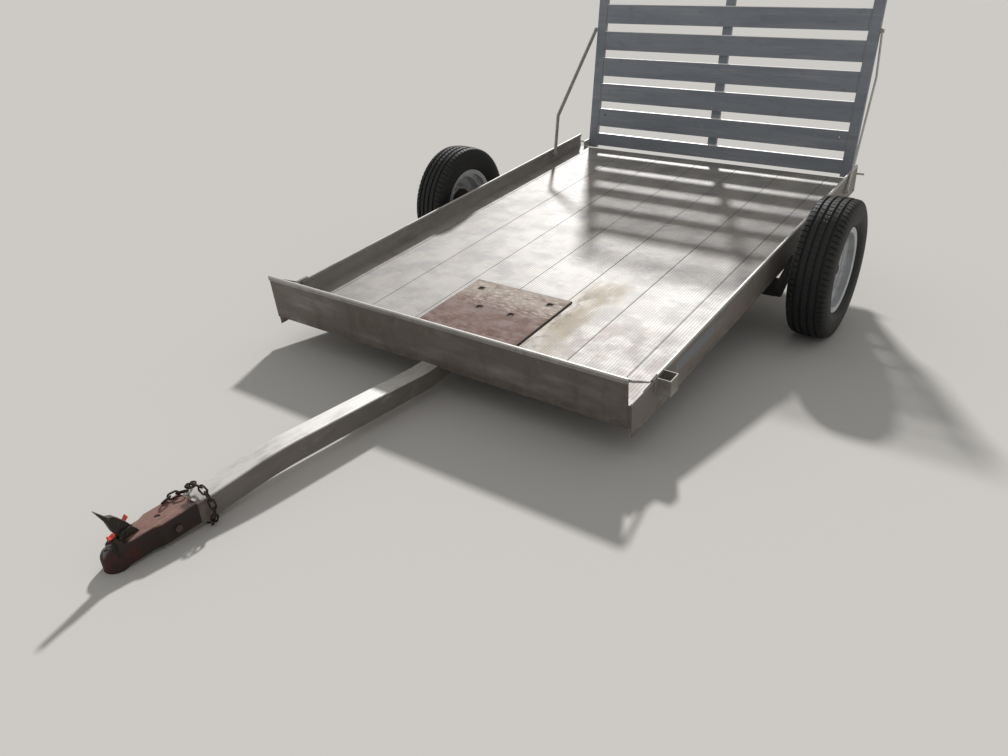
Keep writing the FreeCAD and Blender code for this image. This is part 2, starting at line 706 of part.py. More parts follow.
def coupler_body():
    """Channel over the tongue with a round nose, whose dome covers the ball socket."""
    skirt = column(("0", BALL_BACK, "-dim.nose_depth"), NOSE_RADIUS, "dim.nose_depth - " + NOSE_RADIUS)
    dome = ball(("0", BALL_BACK, BALL_UP), NOSE_RADIUS)
    outside = fuse([coupler_shell(), skirt, dome])
    side = "(dim.tongue_size / 2 + dim.coupler_fit)"
    low = "-dim.nose_depth - 1"
    channel = block(("-" + side, "-dim.shoulder_gap", low),
                    ("2 * " + side, "dim.coupler_lap + dim.shoulder_gap + 1", "dim.nose_depth + 1 + dim.coupler_fit"))
    inner = "(%s - dim.coupler_wall)" % NOSE_RADIUS
    neck = block(("-" + inner, BALL_BACK + " + " + NOSE_RADIUS, low),
                 ("2 * " + inner, "-(%s + %s)" % (BALL_BACK, NOSE_RADIUS), "dim.nose_depth + 1"))
    mouth = column(("0", BALL_BACK, "2 * %s - 1" % BALL_UP), "dim.ball_radius + dim.socket_mouth",
                   "%s + 1 - dim.socket_length" % NOSE_RADIUS)
    socket = column(("0", BALL_BACK, BALL_UP + " - dim.socket_length - 1"), "dim.ball_radius",
                    "dim.socket_length + 1")
    crown = ball(("0", BALL_BACK, BALL_UP), "dim.ball_radius")
    hole = column(("0", "dim.coupler_lap - dim.coupler_hole_back", "-dim.coupler_wall"), "dim.coupler_hole",
                  "4 * dim.coupler_wall")
    bolt = rod(("-dim.tongue_size", BOLT_BACK, "-dim.coupler_bolt_drop"), "dim.coupler_bolt + dim.coupler_fit",
               "2 * dim.tongue_size")
    thing = cut(outside, fuse([channel, neck, mouth, socket, crown, hole, bolt]), "coupler_body")
    place(thing, *tip_frame())


def coupler_bolt():
    """Cross bolt through the coupler's sides, with a head and a nut outside them."""
    up = "-dim.coupler_bolt_drop"
    shank = rod(("-%s - dim.coupler_bolt" % COUPLER_HALF, BOLT_BACK, up), "dim.coupler_bolt",
                "2 * %s + 2 * dim.coupler_bolt" % COUPLER_HALF)
    heads = []
    for start in ("-%s - dim.coupler_bolt_thick" % COUPLER_HALF, COUPLER_HALF):
        heads.append(rod((start, BOLT_BACK, up), "dim.coupler_bolt_head", "dim.coupler_bolt_thick"))
    place(fuse([shank] + heads, "coupler_bolt"), *tip_frame())


LATCH_UP = COUPLER_TOP + " + dim.latch_up"

# Raised latch lever round its pin: back from the pin, above the pin
LEVER_OUTLINE = [(-12, -8), (-27, 19), (-35, 55), (-52, 95), (-53, 100), (-29, 69), (-14, 62), (0, 45),
                 (16, 22), (23, 3), (10, -8)]

# Ear of the latch bracket: back from the pin, above the coupler's top
EAR_OUTLINE = [(-18, 0), (34, 0), (29, 12), (17, 26), (-9, 28), (-15, 20)]


def latch_bracket():
    """Two ears on the coupler's neck that carry the latch lever's pin."""
    ears = []
    for side in (-1, 1):
        ear = new_body("latch_ear")
        inner = "dim.latch_width / 2 + 0.4"
        start = inner if side > 0 else "-(%s) - dim.latch_ear" % inner
        sketch = sketch_on(ear, "YZ_Plane", start)
        polygon(sketch, [("%d - dim.latch_ahead" % back, "%s + %d" % (COUPLER_TOP, up)) for back, up in EAR_OUTLINE])
        pad(ear, sketch, "dim.latch_ear")
        ears.append(ear)
    pin = rod(("-dim.latch_width / 2 - dim.latch_ear - 3", "-dim.latch_ahead", LATCH_UP), "dim.latch_pin",
              "dim.latch_width + 2 * dim.latch_ear + 6")
    place(fuse(ears + [pin], "latch_bracket"), *tip_frame())


def latch_lever():
    """Raised lever: a tapered handle that narrows to its tip."""
    body = new_body("lever_plate")
    side = sketch_on(body, "YZ_Plane", "-dim.latch_width / 2")
    polygon(side, [("%d - dim.latch_ahead" % back, "%s + %d" % (LATCH_UP, up)) for back, up in LEVER_OUTLINE])
    pad(body, side, "dim.latch_width")
    eye = rod(("-dim.latch_width", "-dim.latch_ahead", LATCH_UP), "dim.latch_pin + 0.1", "2 * dim.latch_width")
    place(cut(body, eye, "latch_lever"), *tip_frame())


# Safety chain: a link stands half turned, so its cross section's corner points at what it lies on
LINK_REACH = "((dim.chain_link_width + dim.chain_wire) / 2 / sqrt(2))"
TONGUE_REACH = "((dim.tongue_size / 2 - dim.tongue_corner) * sqrt(2) + dim.tongue_corner)"
LOOP_RADIUS = "(%s + %s + dim.chain_seat)" % (TONGUE_REACH, LINK_REACH)
LINK_PITCH = "(2 * %s * tan(180 deg / dim.chain_links))" % LOOP_RADIUS

# Loose end on the coupler's top: where it begins across and back, and how each link heads
LOOSE_START = (-16, 121)
LOOSE_HEADINGS = [-120, -97.5, -75]


def ring_outline(sketch, half_length, half_width, corner):
    """Long octagon about the origin."""
    long_in = "(%s - %s)" % (half_length, corner)
    wide_in = "(%s - %s)" % (half_width, corner)
    polygon(sketch, [
        (wide_in, "-" + half_length), (half_width, "-" + long_in), (half_width, long_in), (wide_in, half_length),
        ("-" + wide_in, half_length), ("-" + half_width, long_in), ("-" + half_width, "-" + long_in),
        ("-" + wide_in, "-" + half_length),
    ])


def chain_link():
    """Closed link with its length along Z, its width along X and its thickness along Y."""
    body = new_body("link")
    outline = sketch_on(body, "XZ_Plane", "-dim.chain_wire / 2")
    inside_length = "((%s + dim.chain_play) / 2)" % LINK_PITCH
    inside_width = "(dim.chain_link_width / 2 - dim.chain_wire)"
    ring_outline(outline, "(%s + dim.chain_wire)" % inside_length, "(dim.chain_link_width / 2)",
                 "(0.7 * dim.chain_wire)")
    ring_outline(outline, inside_length, inside_width, "(0.3 * dim.chain_wire)")
    pad(body, outline, "dim.chain_wire")
    DOC.recompute()
    return body.Shape


def safety_chain():
    """Chain looped round the tongue behind the coupler, hanging plumb, with a loose end on the coupler."""
    shape = chain_link()
    top, turn = tip_frame()
    middle = top + turn.multVec(Vector(0, dim.coupler_lap + dim.chain_gap, -dim.tongue_size / 2))
    plumb = Placement(middle, POSE.Rotation.inverted())
    radius = number(LOOP_RADIUS)
    count = int(dim.chain_links)
    places = []
    for i in range(count):
        swing = Placement(Vector(), Rotation(Vector(0, 1, 0), -360 * i / count))
        twist = Rotation(Vector(0, 0, 1), 45 if i % 2 else -45)
        places.append(plumb.multiply(swing).multiply(Placement(Vector(radius, 0, 0), twist)))
    joint = Vector(*LOOSE_START, number("%s + %s + dim.chain_seat" % (COUPLER_TOP, LINK_REACH)))
    for i, heading in enumerate(LOOSE_HEADINGS):
        along = Rotation(Vector(0, 0, 1), heading).multiply(Rotation(Vector(0, 1, 0), 90))
        half = along.multVec(Vector(0, 0, number(LINK_PITCH) / 2))
        twist = Rotation(Vector(0, 0, 1), 45 if i % 2 else -45)
        local = Placement(joint + half, along.multiply(twist))
        places.append(Placement(top, turn).multiply(local))
        joint = joint + half + half
    links = []
    for position in places:
        link = DOC.addObject("Part::Feature", "chain_link")
        link.Shape = shape.copy()
        link.Placement = position
        links.append(link)
    place(together(links, "safety_chain"))


# Running gear
def axle_tube_middle():
    """Middle of the torsion axle's tube: behind the board, above the deck."""
    angle = math.radians(dim.arm_angle)
    return (dim.wheel_back - dim.arm_length * math.cos(angle),
            -dim.wheel_drop - dim.arm_length * math.sin(angle))


def axle_tube():
    """Square tube of the torsion axle, open at its ends towards the arms."""
    body = new_body("axle_tube")
    section = sketch_on(body, "YZ_Plane", "-dim.frame_width / 2 - dim.axle_overhang")
    half = "dim.axle_tube / 2"
    inner = "dim.axle_tube / 2 - dim.axle_wall"
    rectangle(section, "-" + half, "-" + half, half, half)
    rectangle(section, "-(%s)" % inner, "-(%s)" % inner, inner, inner)
    pad(body, section, "dim.frame_width + 2 * dim.axle_overhang")
    back, up = axle_tube_middle()
    place(body, Vector(0, back, up))


def axle_pads():
    """Pads between the axle tube's top and the cross-member above it."""
    pads = []
    top = AXLE_UP + " + dim.axle_tube / 2"
    for low in ("dim.pad_length / 2 - dim.frame_width / 2", "dim.frame_width / 2 - 1.5 * dim.pad_length"):
        pads.append(block((low, AXLE_BACK + " - dim.pad_width / 2", top),
                          ("dim.pad_length", "dim.pad_width",
                           "-dim.deck_depth - dim.member_height - (%s)" % top)))
    place(together(pads, "axle_pads"))


def torsion_arm(label, side):
    """Tapered arm from the axle tube up to the wheel, with the spindle on its outside."""
    root = rod(("0", "0", "0"), "dim.arm_root", "dim.arm_thick")
    tip = rod(("0", "dim.arm_length", "0"), "dim.arm_tip", "dim.arm_thick")
    web = new_body("arm_web")
    outline = sketch_on(web, "YZ_Plane")
    lean = math.degrees(math.asin((dim.arm_root - dim.arm_tip) / dim.arm_length))
    touch = "%s * %s"
    sine, cosine = math.sin(math.radians(lean)), math.cos(math.radians(lean))
    polygon(outline, [
        (touch % ("dim.arm_root", sine), touch % ("-dim.arm_root", cosine)),
        ("dim.arm_length + " + touch % ("dim.arm_tip", sine), touch % ("-dim.arm_tip", cosine)),
        ("dim.arm_length + " + touch % ("dim.arm_tip", sine), touch % ("dim.arm_tip", cosine)),
        (touch % ("dim.arm_root", sine), touch % ("dim.arm_root", cosine)),
    ])
    pad(web, outline, "dim.arm_thick")
    reach = "dim.wheel_out - dim.axle_overhang"
    spindle = rod(("0", "dim.arm_length", "0"), "dim.spindle_radius", reach + " + dim.hub_cap_length / 2")
    whole = fuse([root, web, tip, spindle], label)
    back, up = axle_tube_middle()
    tilt = Rotation(Vector(1, 0, 0), dim.arm_angle)
    start = side * (dim.frame_width / 2 + dim.axle_overhang)
    if side > 0:
        place(whole, Vector(start, back, up), tilt)
    else:
        flip = Rotation(Vector(0, 0, 1), 180)
        place(whole, Vector(start, back, up), tilt.multiply(flip).multiply(Rotation(Vector(1, 0, 0), 180)))


def wheel_place(side):
    """Middle of a wheel, turned so that its local +X points outwards."""
    turn = Rotation() if side > 0 else Rotation(Vector(0, 0, 1), 180)
    return Vector(side * (dim.frame_width / 2 + dim.wheel_out), dim.wheel_back, -dim.wheel_drop), turn


def hub(label, side):
    """Turned hub with its flange behind the disc, wheel studs with nuts, and a dust cap."""
    body = new_body(label)
    section = sketch_on(body, "XY_Plane")
    bore = "dim.spindle_radius + dim.spindle_fit"
    polygon(section, [
        ("-dim.hub_inner", bore), ("-dim.hub_inner", "dim.hub_barrel"),
        ("-dim.hub_flange_thick", "dim.hub_barrel"), ("-dim.hub_flange_thick", "dim.hub_flange"),
        ("0", "dim.hub_flange"), ("0", "dim.pilot_radius - dim.seat_gap"),
        ("dim.rim_wall + 6", "dim.pilot_radius - dim.seat_gap"), ("dim.rim_wall + 6", "dim.hub_cap"),
        ("dim.hub_cap_length - 6", "dim.hub_cap"), ("dim.hub_cap_length", "dim.hub_cap - 6"),
        ("dim.hub_cap_length", "0"), ("dim.hub_cap_length / 2 + 3", "0"),
        ("dim.hub_cap_length / 2 + 3", bore),
    ])
    turned = revolve(body, section)
    stud = sketch_on(body, "YZ_Plane", "-1")
    circle(stud, "0", "dim.lug_circle", "dim.lug_hole - dim.seat_gap")
    stem = pad(body, stud, "dim.rim_wall + 1 + dim.lug_nut_height")
    ring_of(body, stem, "X_Axis", "dim.lug_count")
    nuts = sketch_on(body, "YZ_Plane", "dim.rim_wall")
    corner = "dim.lug_nut / cos(30 deg)"
    polygon(nuts, [("%s * sin(%d deg)" % (corner, 60 * i), "dim.lug_circle + %s * cos(%d deg)" % (corner, 60 * i))
                   for i in range(6)])
    nut = pad(body, nuts, "dim.lug_nut_height")
    ring_of(body, nut, "X_Axis", "dim.lug_count")
    base, turn = wheel_place(side)
    place(body, base, turn)


def wheel_rim(label, side):
    """Drop centre rim with rolled lips and a dished disc with pilot and stud holes."""
    body = new_body(label)
    section = sketch_on(body, "XY_Plane")
    half = "dim.rim_width / 2"
    well = "dim.rim_well_width / 2"
    wall = "dim.rim_wall"
    polygon(section, [
        ("-(%s) - dim.rim_lip" % half, "dim.rim_flange"), ("-(%s)" % half, "dim.rim_flange"),
        ("-(%s)" % half, "dim.rim_seat"), ("-(%s) - 10" % well, "dim.rim_seat"), ("-(%s)" % well, "dim.rim_well"),
        (well, "dim.rim_well"), ("%s + 10" % well, "dim.rim_seat"), (half, "dim.rim_seat"),
        (half, "dim.rim_flange"), ("%s + dim.rim_lip" % half, "dim.rim_flange"),
        ("%s + dim.rim_lip" % half, "dim.rim_flange - dim.rim_wall"),
        ("%s + dim.rim_wall" % half, "dim.rim_flange - dim.rim_wall - 3"),
        ("%s + dim.rim_wall" % half, "dim.rim_seat - dim.rim_wall"),
        ("%s + 10" % well, "dim.rim_seat - dim.rim_wall"), (well, "dim.rim_well - dim.rim_wall"),
        ("-(%s)" % well, "dim.rim_well - dim.rim_wall"), ("-(%s) - 10" % well, "dim.rim_seat - dim.rim_wall"),
        ("-(%s) - dim.rim_wall" % half, "dim.rim_seat - dim.rim_wall"),
        ("-(%s) - dim.rim_wall" % half, "dim.rim_flange - dim.rim_wall - 3"),
        ("-(%s) - dim.rim_lip" % half, "dim.rim_flange - dim.rim_wall"),
    ])
    revolve(body, section)
    disc = sketch_on(body, "XY_Plane")
    polygon(disc, [
        ("0", "dim.pilot_radius"), (wall, "dim.pilot_radius"), (wall, "dim.disc_radius - 12"),
        ("dim.disc_dish + %s" % wall, "dim.disc_radius + 10"), ("dim.disc_dish + %s" % wall, "dim.rim_well - 20"),
        (well + " - 3", "dim.rim_well - dim.rim_wall - 8"), (well + " - 3", "dim.rim_well - dim.rim_wall / 2"),
        (well + " - 8", "dim.rim_well - dim.rim_wall / 2"), (well + " - 8", "dim.rim_well - dim.rim_wall - 8"),
        ("dim.disc_dish", "dim.rim_well - 20 - %s" % wall), ("dim.disc_dish", "dim.disc_radius + 10"),
        ("0", "dim.disc_radius - 12"),
    ])
    revolve(body, disc)
    hole = sketch_on(body, "YZ_Plane", "-1")
    circle(hole, "0", "dim.lug_circle", "dim.lug_hole")
    drilled = pocket(body, hole, "dim.rim_wall + 2", reverse=True)
    ring_of(body, drilled, "X_Axis", "dim.lug_count")
    base, turn = wheel_place(side)
    place(body, base, turn)


def tyre(label, side):
    """Tyre shell: flat tread with round shoulders, bulged walls and beads on the rim's seats."""
    body = new_body(label)
    section = sketch_on(body, "XY_Plane")
    bead = "dim.rim_width / 2"
    wide = "dim.tyre_width / 2"
    tread = "dim.tread_width / 2"
    rise = "(dim.tyre_radius - dim.rim_seat)"
    # Outside of one wall from bead to tread: across and up, then the same wall from inside
    outside = [
        (bead, "dim.rim_seat + 0.01"), (bead + " - 0.1", "dim.rim_flange + 2"),
        (wide + " - 6", "dim.rim_seat + 0.34 * " + rise), (wide, "dim.rim_seat + 0.54 * " + rise),
        (wide + " - 8", "dim.rim_seat + 0.86 * " + rise), (tread, "dim.tyre_radius"),
    ]
    inside = [
        (tread + " - 10", "dim.tyre_radius - dim.tread_thick"),
        (wide + " - dim.tyre_wall", "dim.rim_seat + 0.54 * " + rise),
        (bead + " - 16", "dim.rim_seat + 12"), (bead + " - 16", "dim.rim_seat + 0.01"),
    ]
    mirrored = [("-(%s)" % across, up) for across, up in reversed(outside)]
    mirrored_inside = [("-(%s)" % across, up) for across, up in reversed(inside)]
    polygon(section, outside + mirrored + mirrored_inside + inside)
    revolve(body, section)
    base, turn = wheel_place(side)
    place(body, base, turn)


# Plate, corner ties and stake pocket
def steel_plate():
    """Flat plate on the front of the deck with four holes."""
    body = new_body("steel_plate")
    outline = sketch_on(body, "XY_Plane")
    half = "dim.plate_width / 2"
    rectangle(outline, "dim.plate_shift - " + half, "dim.plate_rear - dim.plate_length",
              "dim.plate_shift + " + half, "dim.plate_rear")
    for spacing, edge in (("dim.plate_rear_spacing", "dim.plate_rear_edge"),
                          ("dim.plate_front_spacing", "dim.plate_front_edge")):
        for side in ("-", "+"):
            circle(outline, "dim.plate_shift %s %s / 2" % (side, spacing), "dim.plate_rear - " + edge,
                   "dim.plate_hole")
    pad(body, outline, "dim.plate_thick")
    place(body)


def corner_tie(side):
    """Flat bar from the board's lip down to a foot on the rail's lip."""
    body = new_body("corner_tie")
    outside = "dim.frame_width / 2 - dim.rail_web / 2"
    start = "%s - dim.tie_width" % outside if side > 0 else "-(%s)" % outside
    shape = sketch_on(body, "YZ_Plane", start)
    bend = "dim.rail_lip_start - dim.tie_reach"
    foot = "dim.rail_lip_start + dim.tie_foot"
    top = "dim.board_top - dim.board_lip_height / 3"
    seat = "dim.rail_top"
    polygon(shape, [
        ("dim.board_lip_depth - dim.board_lip_proud", top),
        ("dim.board_lip_depth - dim.board_lip_proud", top + " - 1.6 * dim.tie_thick"),
        (bend, seat), (foot, seat), (foot, seat + " + dim.tie_thick"), (bend, seat + " + dim.tie_thick"),
    ])
    pad(body, shape, "dim.tie_width")
    return body


def stake_pocket():
    """Open channel bent from strip, its two legs against the right rail's outside."""
    body = new_body("stake_pocket_right")
    plan = sketch_on(body, "XY_Plane", "dim.pocket_top - dim.pocket_height")
    face = "dim.frame_width / 2"
    out = "dim.frame_width / 2 + dim.pocket_depth"
    front = "dim.pocket_front"
    rear = "dim.pocket_front + dim.pocket_width"
    wall = "dim.pocket_wall"
    polygon(plan, [
        (face, front), (out, front), (out, rear), (face, rear), (face, rear + " - " + wall),
        (out + " - " + wall, rear + " - " + wall), (out + " - " + wall, front + " + " + wall),
        (face, front + " + " + wall),
    ])
    pad(body, plan, "dim.pocket_height")
    place(body)


# Gate, drawn in its own frame: X across, Z up along the gate from the pivot, Y rearwards
GATE_HALF = "(dim.frame_width / 2 - dim.gate_inset)"


def gate_base():
    """Pivot of the gate and its lean."""
    pivot = Vector(0, dim.rail_end + dim.gate_pivot_back, dim.gate_pivot_up)
    return pivot, Rotation(Vector(1, 0, 0), -dim.gate_lean)


def tube_between(body, role, offset, low, high, length):
    """Rectangular tube: outline and bore in one sketch, low and high are its corners."""
    section = sketch_on(body, role, offset)
    wall = "dim.gate_wall"
    rectangle(section, low[0], low[1], high[0], high[1])
    rectangle(section, "%s + %s" % (low[0], wall), "%s + %s" % (low[1], wall),
              "%s - %s" % (high[0], wall), "%s - %s" % (high[1], wall))
    return pad(body, section, length)


def gate_post(label, side):
    """Post with the bore for its hinge pin."""
    body = new_body("post_tube")
    outer = GATE_HALF
    inner = GATE_HALF + " - dim.post_width"
    low, high = (inner, outer) if side > 0 else ("-(%s)" % outer, "-(%s)" % inner)
    half = "dim.post_depth / 2"
    tube_between(body, "XY_Plane", "-dim.gate_foot", (low, "-" + half), (high, half),
                 "dim.gate_height + dim.gate_foot")
    sleeve = rod((low, "0", "0"), "dim.hinge_pin + dim.gate_wall", "dim.post_width")
    bore = rod((low + " - 1", "0", "0"), "dim.hinge_pin + dim.hinge_fit", "dim.post_width + 2")
    thing = cut(fuse([body, sleeve]), bore, label)
    base, turn = gate_base()
    place(thing, base, turn)


def slat_rows():
    """Every slat's top and height above the pivot, lowest first."""
    rows = []
    count = int(dim.slat_count)
    for i in range(count):
        top = "dim.slat_first_top + %d * dim.slat_pitch" % i
        height = "dim.slat_height"
        if i == 0:
            height = "dim.slat_first_height"
        if i == count - 1:
            top = "dim.gate_height"
            height = "dim.slat_last_height"
        rows.append((top, height))
    return rows


def gate_slats():
    """Flat tubes between the posts."""
    half_run = "(%s - dim.post_width)" % GATE_HALF
    depth = "dim.post_depth / 2"
    slats = []
    for top, height in slat_rows():
        body = new_body("gate_slat")
        tube_between(body, "YZ_Plane", "-" + half_run, ("-" + depth, "%s - %s" % (top, height)),
                     (depth, top), "2 * " + half_run)
        slats.append(body)
    top, height = slat_rows()[1]
    holes = sketch_on(slats[1], "XZ_Plane", depth + " + 1")
    for side in ("-", ""):
        circle(holes, "%s(%s - dim.slat_hole_in)" % (side, half_run), top + " - dim.slat_hole_drop",
               "dim.slat_hole")
    pocket(slats[1], holes, "dim.post_depth + 2")
    base, turn = gate_base()
    place(together(slats, "gate_slats"), base, turn)


def gate_upright():
    """Middle upright on the back of the slats."""
    body = new_body("gate_upright")
    foot = "dim.slat_first_top - dim.slat_first_height"
    depth = "dim.post_depth / 2"
    tube_between(body, "XY_Plane", foot, ("-dim.upright_width / 2", depth),
                 ("dim.upright_width / 2", depth + " + dim.upright_depth"), "dim.gate_height - (%s)" % foot)
    base, turn = gate_base()
    place(body, base, turn)


def hinge_bracket(label, side):
    """Ear behind the sill, round at its pin."""
    body = new_body("bracket_plate")
    start = GATE_HALF + " + dim.bracket_gap"
    if side < 0:
        start = "-(%s) - dim.bracket_thick" % start
    shape = sketch_on(body, "YZ_Plane", start)
    pivot = "dim.rail_end + dim.gate_pivot_back"
    polygon(shape, [
        ("dim.rail_end", "-dim.rail_bottom"), (pivot, "dim.gate_pivot_up - dim.bracket_round"),
        (pivot, "dim.gate_pivot_up + dim.bracket_round"),
        ("dim.rail_end", "dim.gate_pivot_up + dim.bracket_round"),
    ])
    pad(body, shape, "dim.bracket_thick")
    eye = rod((start, pivot, "dim.gate_pivot_up"), "dim.bracket_round", "dim.bracket_thick")
    bore = rod((start + " - 1", pivot, "dim.gate_pivot_up"), "dim.hinge_pin + dim.coupler_fit",
               "dim.bracket_thick + 2")
    place(cut(fuse([body, eye]), bore, label))


def hinge_pin(side):
    """Pin through bracket and post, with a collar between them and a nut outside."""
    back = "dim.rail_end + dim.gate_pivot_back"
    up = "dim.gate_pivot_up"
    inner = GATE_HALF + " - dim.post_width + dim.seat_gap"
    collar = GATE_HALF + " + dim.seat_gap"
    collar_length = "dim.bracket_gap - dim.seat_gap"
    end = GATE_HALF + " + dim.bracket_gap + dim.bracket_thick"
    # Stretches along the pin: inner end, radius, length
    stretches = [
        (inner, "dim.hinge_pin", "(%s + dim.hinge_tail) - (%s)" % (end, inner)),
        (collar, "dim.hinge_collar", collar_length),
        (end, "dim.hinge_head", "dim.hinge_head_length"),
    ]
    rods = []
    for start, radius, length in stretches:
        low = start if side > 0 else "-(%s) - (%s)" % (start, length)
        rods.append(rod((low, back, up), radius, length))
    return fuse(rods)


# Stays: dog-legged flat bars; the right one is the left one's twin turned end for end
def stay_chord():
    """Distance between a stay's two holes."""
    bend = math.radians(180 - dim.stay_bend)
    return math.sqrt(dim.stay_short ** 2 + dim.stay_long ** 2
                     - 2 * dim.stay_short * dim.stay_long * math.cos(bend))


def stay_top(foot_back, foot_up):
    """Where the stay's upper hole meets the gate's middle plane, seen from the side."""
    base, turn = gate_base()
    along = turn.multVec(Vector(0, 0, 1))
    foot = Vector(0, foot_back, foot_up)
    reach = base - foot
    b = reach.dot(along)
    c = reach.dot(reach) - stay_chord() ** 2
    return base + along * (-b + math.sqrt(b * b - c))


# Room from a stay to the rail or post beside it, by side and whether at its upper hole
STAY_ROOMS = {
    (-1, False): "dim.left_stay_room",
    (1, False): "dim.right_stay_room - 2 * dim.seat_gap",
    (-1, True): "dim.frame_width / 2 - dim.rail_web - dim.left_stay_room - dim.stay_thick"
                " - " + GATE_HALF + " - dim.seat_gap",
    (1, True): "dim.right_stay_top_room - 3 * dim.seat_gap",
}


def stay_layout(side):
    """Lower hole, placement of the stay's plane, and the order of its legs."""
    back, up = STAY_FEET[side]
    foot_back, foot_up = number(back), number(up)
    top = stay_top(foot_back, foot_up)
    if side < 0:
        foot_x = -(dim.frame_width / 2 - dim.rail_web - dim.left_stay_room)
        top_x = foot_x
        first, second = dim.stay_short, dim.stay_long
    else:
        foot_x = dim.frame_width / 2 + dim.right_stay_room
        top_x = number(GATE_HALF) + dim.right_stay_top_room
        first, second = dim.stay_long, dim.stay_short
    foot = Vector(foot_x, foot_back, foot_up)
    chord = Vector(top_x, top.y, top.z) - foot
    along = Vector(chord).normalize()
    across = Vector(1, 0, 0)
    normal = (across - along * across.dot(along)).normalize()
    lean = normal.cross(along)
    matrix = FreeCAD.Matrix(normal.x, along.x, lean.x, foot.x,
                            normal.y, along.y, lean.y, foot.y,
                            normal.z, along.z, lean.z, foot.z, 0, 0, 0, 1)
    return matrix, first, second, chord.Length


def stay(label, side):
    """Two straight legs that meet at the bend, round at both ends."""
    matrix, first, second, chord = stay_layout(side)
    rise = math.degrees(math.acos((first ** 2 + chord ** 2 - second ** 2) / (2 * first * chord)))
    knee_names = ("dim.stay_short", "dim.stay_long") if side < 0 else ("dim.stay_long", "dim.stay_short")
    solids = []
    half = "dim.stay_width / 2"
    tilt_first = -side * rise
    knee = Vector(0, first * math.cos(math.radians(rise)), first * math.sin(math.radians(tilt_first)))
    tilt_second = -math.degrees(math.asin(knee.z / second))
    for start, tilt, length in ((Vector(), tilt_first, knee_names[0]), (knee, tilt_second, knee_names[1])):
        leg = DOC.addObject("Part::Box", "leg")
        leg.setExpression("Length", "dim.stay_thick")
        leg.setExpression("Width", length)
        leg.setExpression("Height", "dim.stay_width")
        turn = Rotation(Vector(1, 0, 0), tilt)
        leg.Placement = Placement(start + turn.multVec(Vector(0, 0, -number(half))), turn)
        solids.append(leg)
    for centre in (Vector(), knee, Vector(0, chord, 0)):
        solids.append(free_rod(Placement(centre, Rotation()), half, "dim.stay_thick"))
    holes = []
    for centre in (Vector(-1, 0, 0), Vector(-1, chord, 0)):
        holes.append(free_rod(Placement(centre, Rotation()), "dim.stay_hole", "dim.stay_thick + 2"))
    local = Placement(matrix)
    place(cut(fuse(solids), fuse(holes), label), local.Base, local.Rotation)


def stay_pin(side, upper):
    """Pin with a head on one side of the stay and a spacer on the other.

    The left lower pin is bolted through the rail and the right one is a stud on the rail's
    face. The upper pins stay in the stays' ends and stop short of the posts, because the stays
    are unpinned from the gate here.
    """
    matrix, first, second, chord = stay_layout(side)
    room = STAY_ROOMS[side, upper]
    past = "dim.stay_head_length + dim.seat_gap"
    pieces = []
    if upper and side < 0:
        pieces.append(rod(("-(%s)" % past, "0", "0"), "dim.stay_pin", "%s + dim.stay_thick + %s" % (past, room)))
        pieces.append(rod(("-(%s)" % past, "0", "0"), "dim.stay_head", "dim.stay_head_length"))
        pieces.append(rod(("dim.stay_thick + dim.seat_gap", "0", "0"), "dim.stay_washer",
                          room + " - dim.seat_gap"))
    else:
        tail = "0" if upper or side > 0 else "dim.rail_web + " + past
        low = "-(%s) - (%s)" % (room, tail)
        pieces.append(rod((low, "0", "0"), "dim.stay_pin", "%s + %s + dim.stay_thick + %s" % (room, tail, past)))
        pieces.append(rod(("dim.stay_thick + dim.seat_gap", "0", "0"), "dim.stay_head", "dim.stay_head_length"))
        pieces.append(rod(("-(%s)" % room, "0", "0"), "dim.stay_washer", room + " - dim.seat_gap"))
        if tail != "0":
            pieces.append(rod((low, "0", "0"), "dim.stay_head", "dim.stay_head_length"))
    pin = fuse(pieces)
    local = Placement(matrix).multiply(Placement(Vector(0, chord if upper else 0, 0), Rotation()))
    if not upper:
        pin.Placement = local
        return pin
    pin.Label = "stay_top_pin_" + ("left" if side < 0 else "right")
    place(pin, local.Base, local.Rotation)
    return pin


# The trailer's parked pose
def parked_pose():
    """Pitch about X so that tyres and coupler nose share the ground, with the ground at Z 0."""
    top, slope = tip_frame()
    nose = top + slope.multVec(Vector(0, -dim.coupler_nose, -dim.nose_depth))
    run = dim.wheel_back - nose.y
    rise = -dim.wheel_drop - nose.z
    pitch = math.asin(dim.tyre_radius / math.hypot(run, rise)) - math.atan2(rise, run)
    turn = Rotation(Vector(1, 0, 0), math.degrees(pitch))
    axle = turn.multVec(Vector(0, dim.wheel_back, -dim.wheel_drop))
    return Placement(Vector(0, 0, dim.tyre_radius - axle.z), turn)


POSE = parked_pose()


def build():
    for label, side in (("side_rail_left", -1), ("side_rail_right", 1)):
        side_rail(label, side)
    front_board()
    for i, (low, high) in enumerate(plank_edges(), start=1):
        deck_plank("deck_plank_%d" % i, low, high)
    rear_sill()
    cross_members()
    tongue()
    coupler_body()
    coupler_bolt()
    latch_bracket()
    latch_lever()
    safety_chain()
    axle_tube()
    steel_plate()
    stake_pocket()
    for name, side in (("left", -1), ("right", 1)):
        torsion_arm("torsion_arm_" + name, side)
        hub("hub_" + name, side)
        wheel_rim("wheel_rim_" + name, side)
        tyre("tyre_" + name, side)
        gate_post("gate_post_" + name, side)
        hinge_bracket("hinge_bracket_" + name, side)
        stay("stay_" + name, side)
        stay_pin(side, upper=True)
    axle_pads()
    place(together([corner_tie(-1), corner_tie(1)], "corner_ties"))
    place(together([hinge_pin(-1), hinge_pin(1)], "hinge_pins"))
    place(together([stay_pin(-1, upper=False), stay_pin(1, upper=False)], "stay_pins"))
    gate_slats()
    gate_upright()


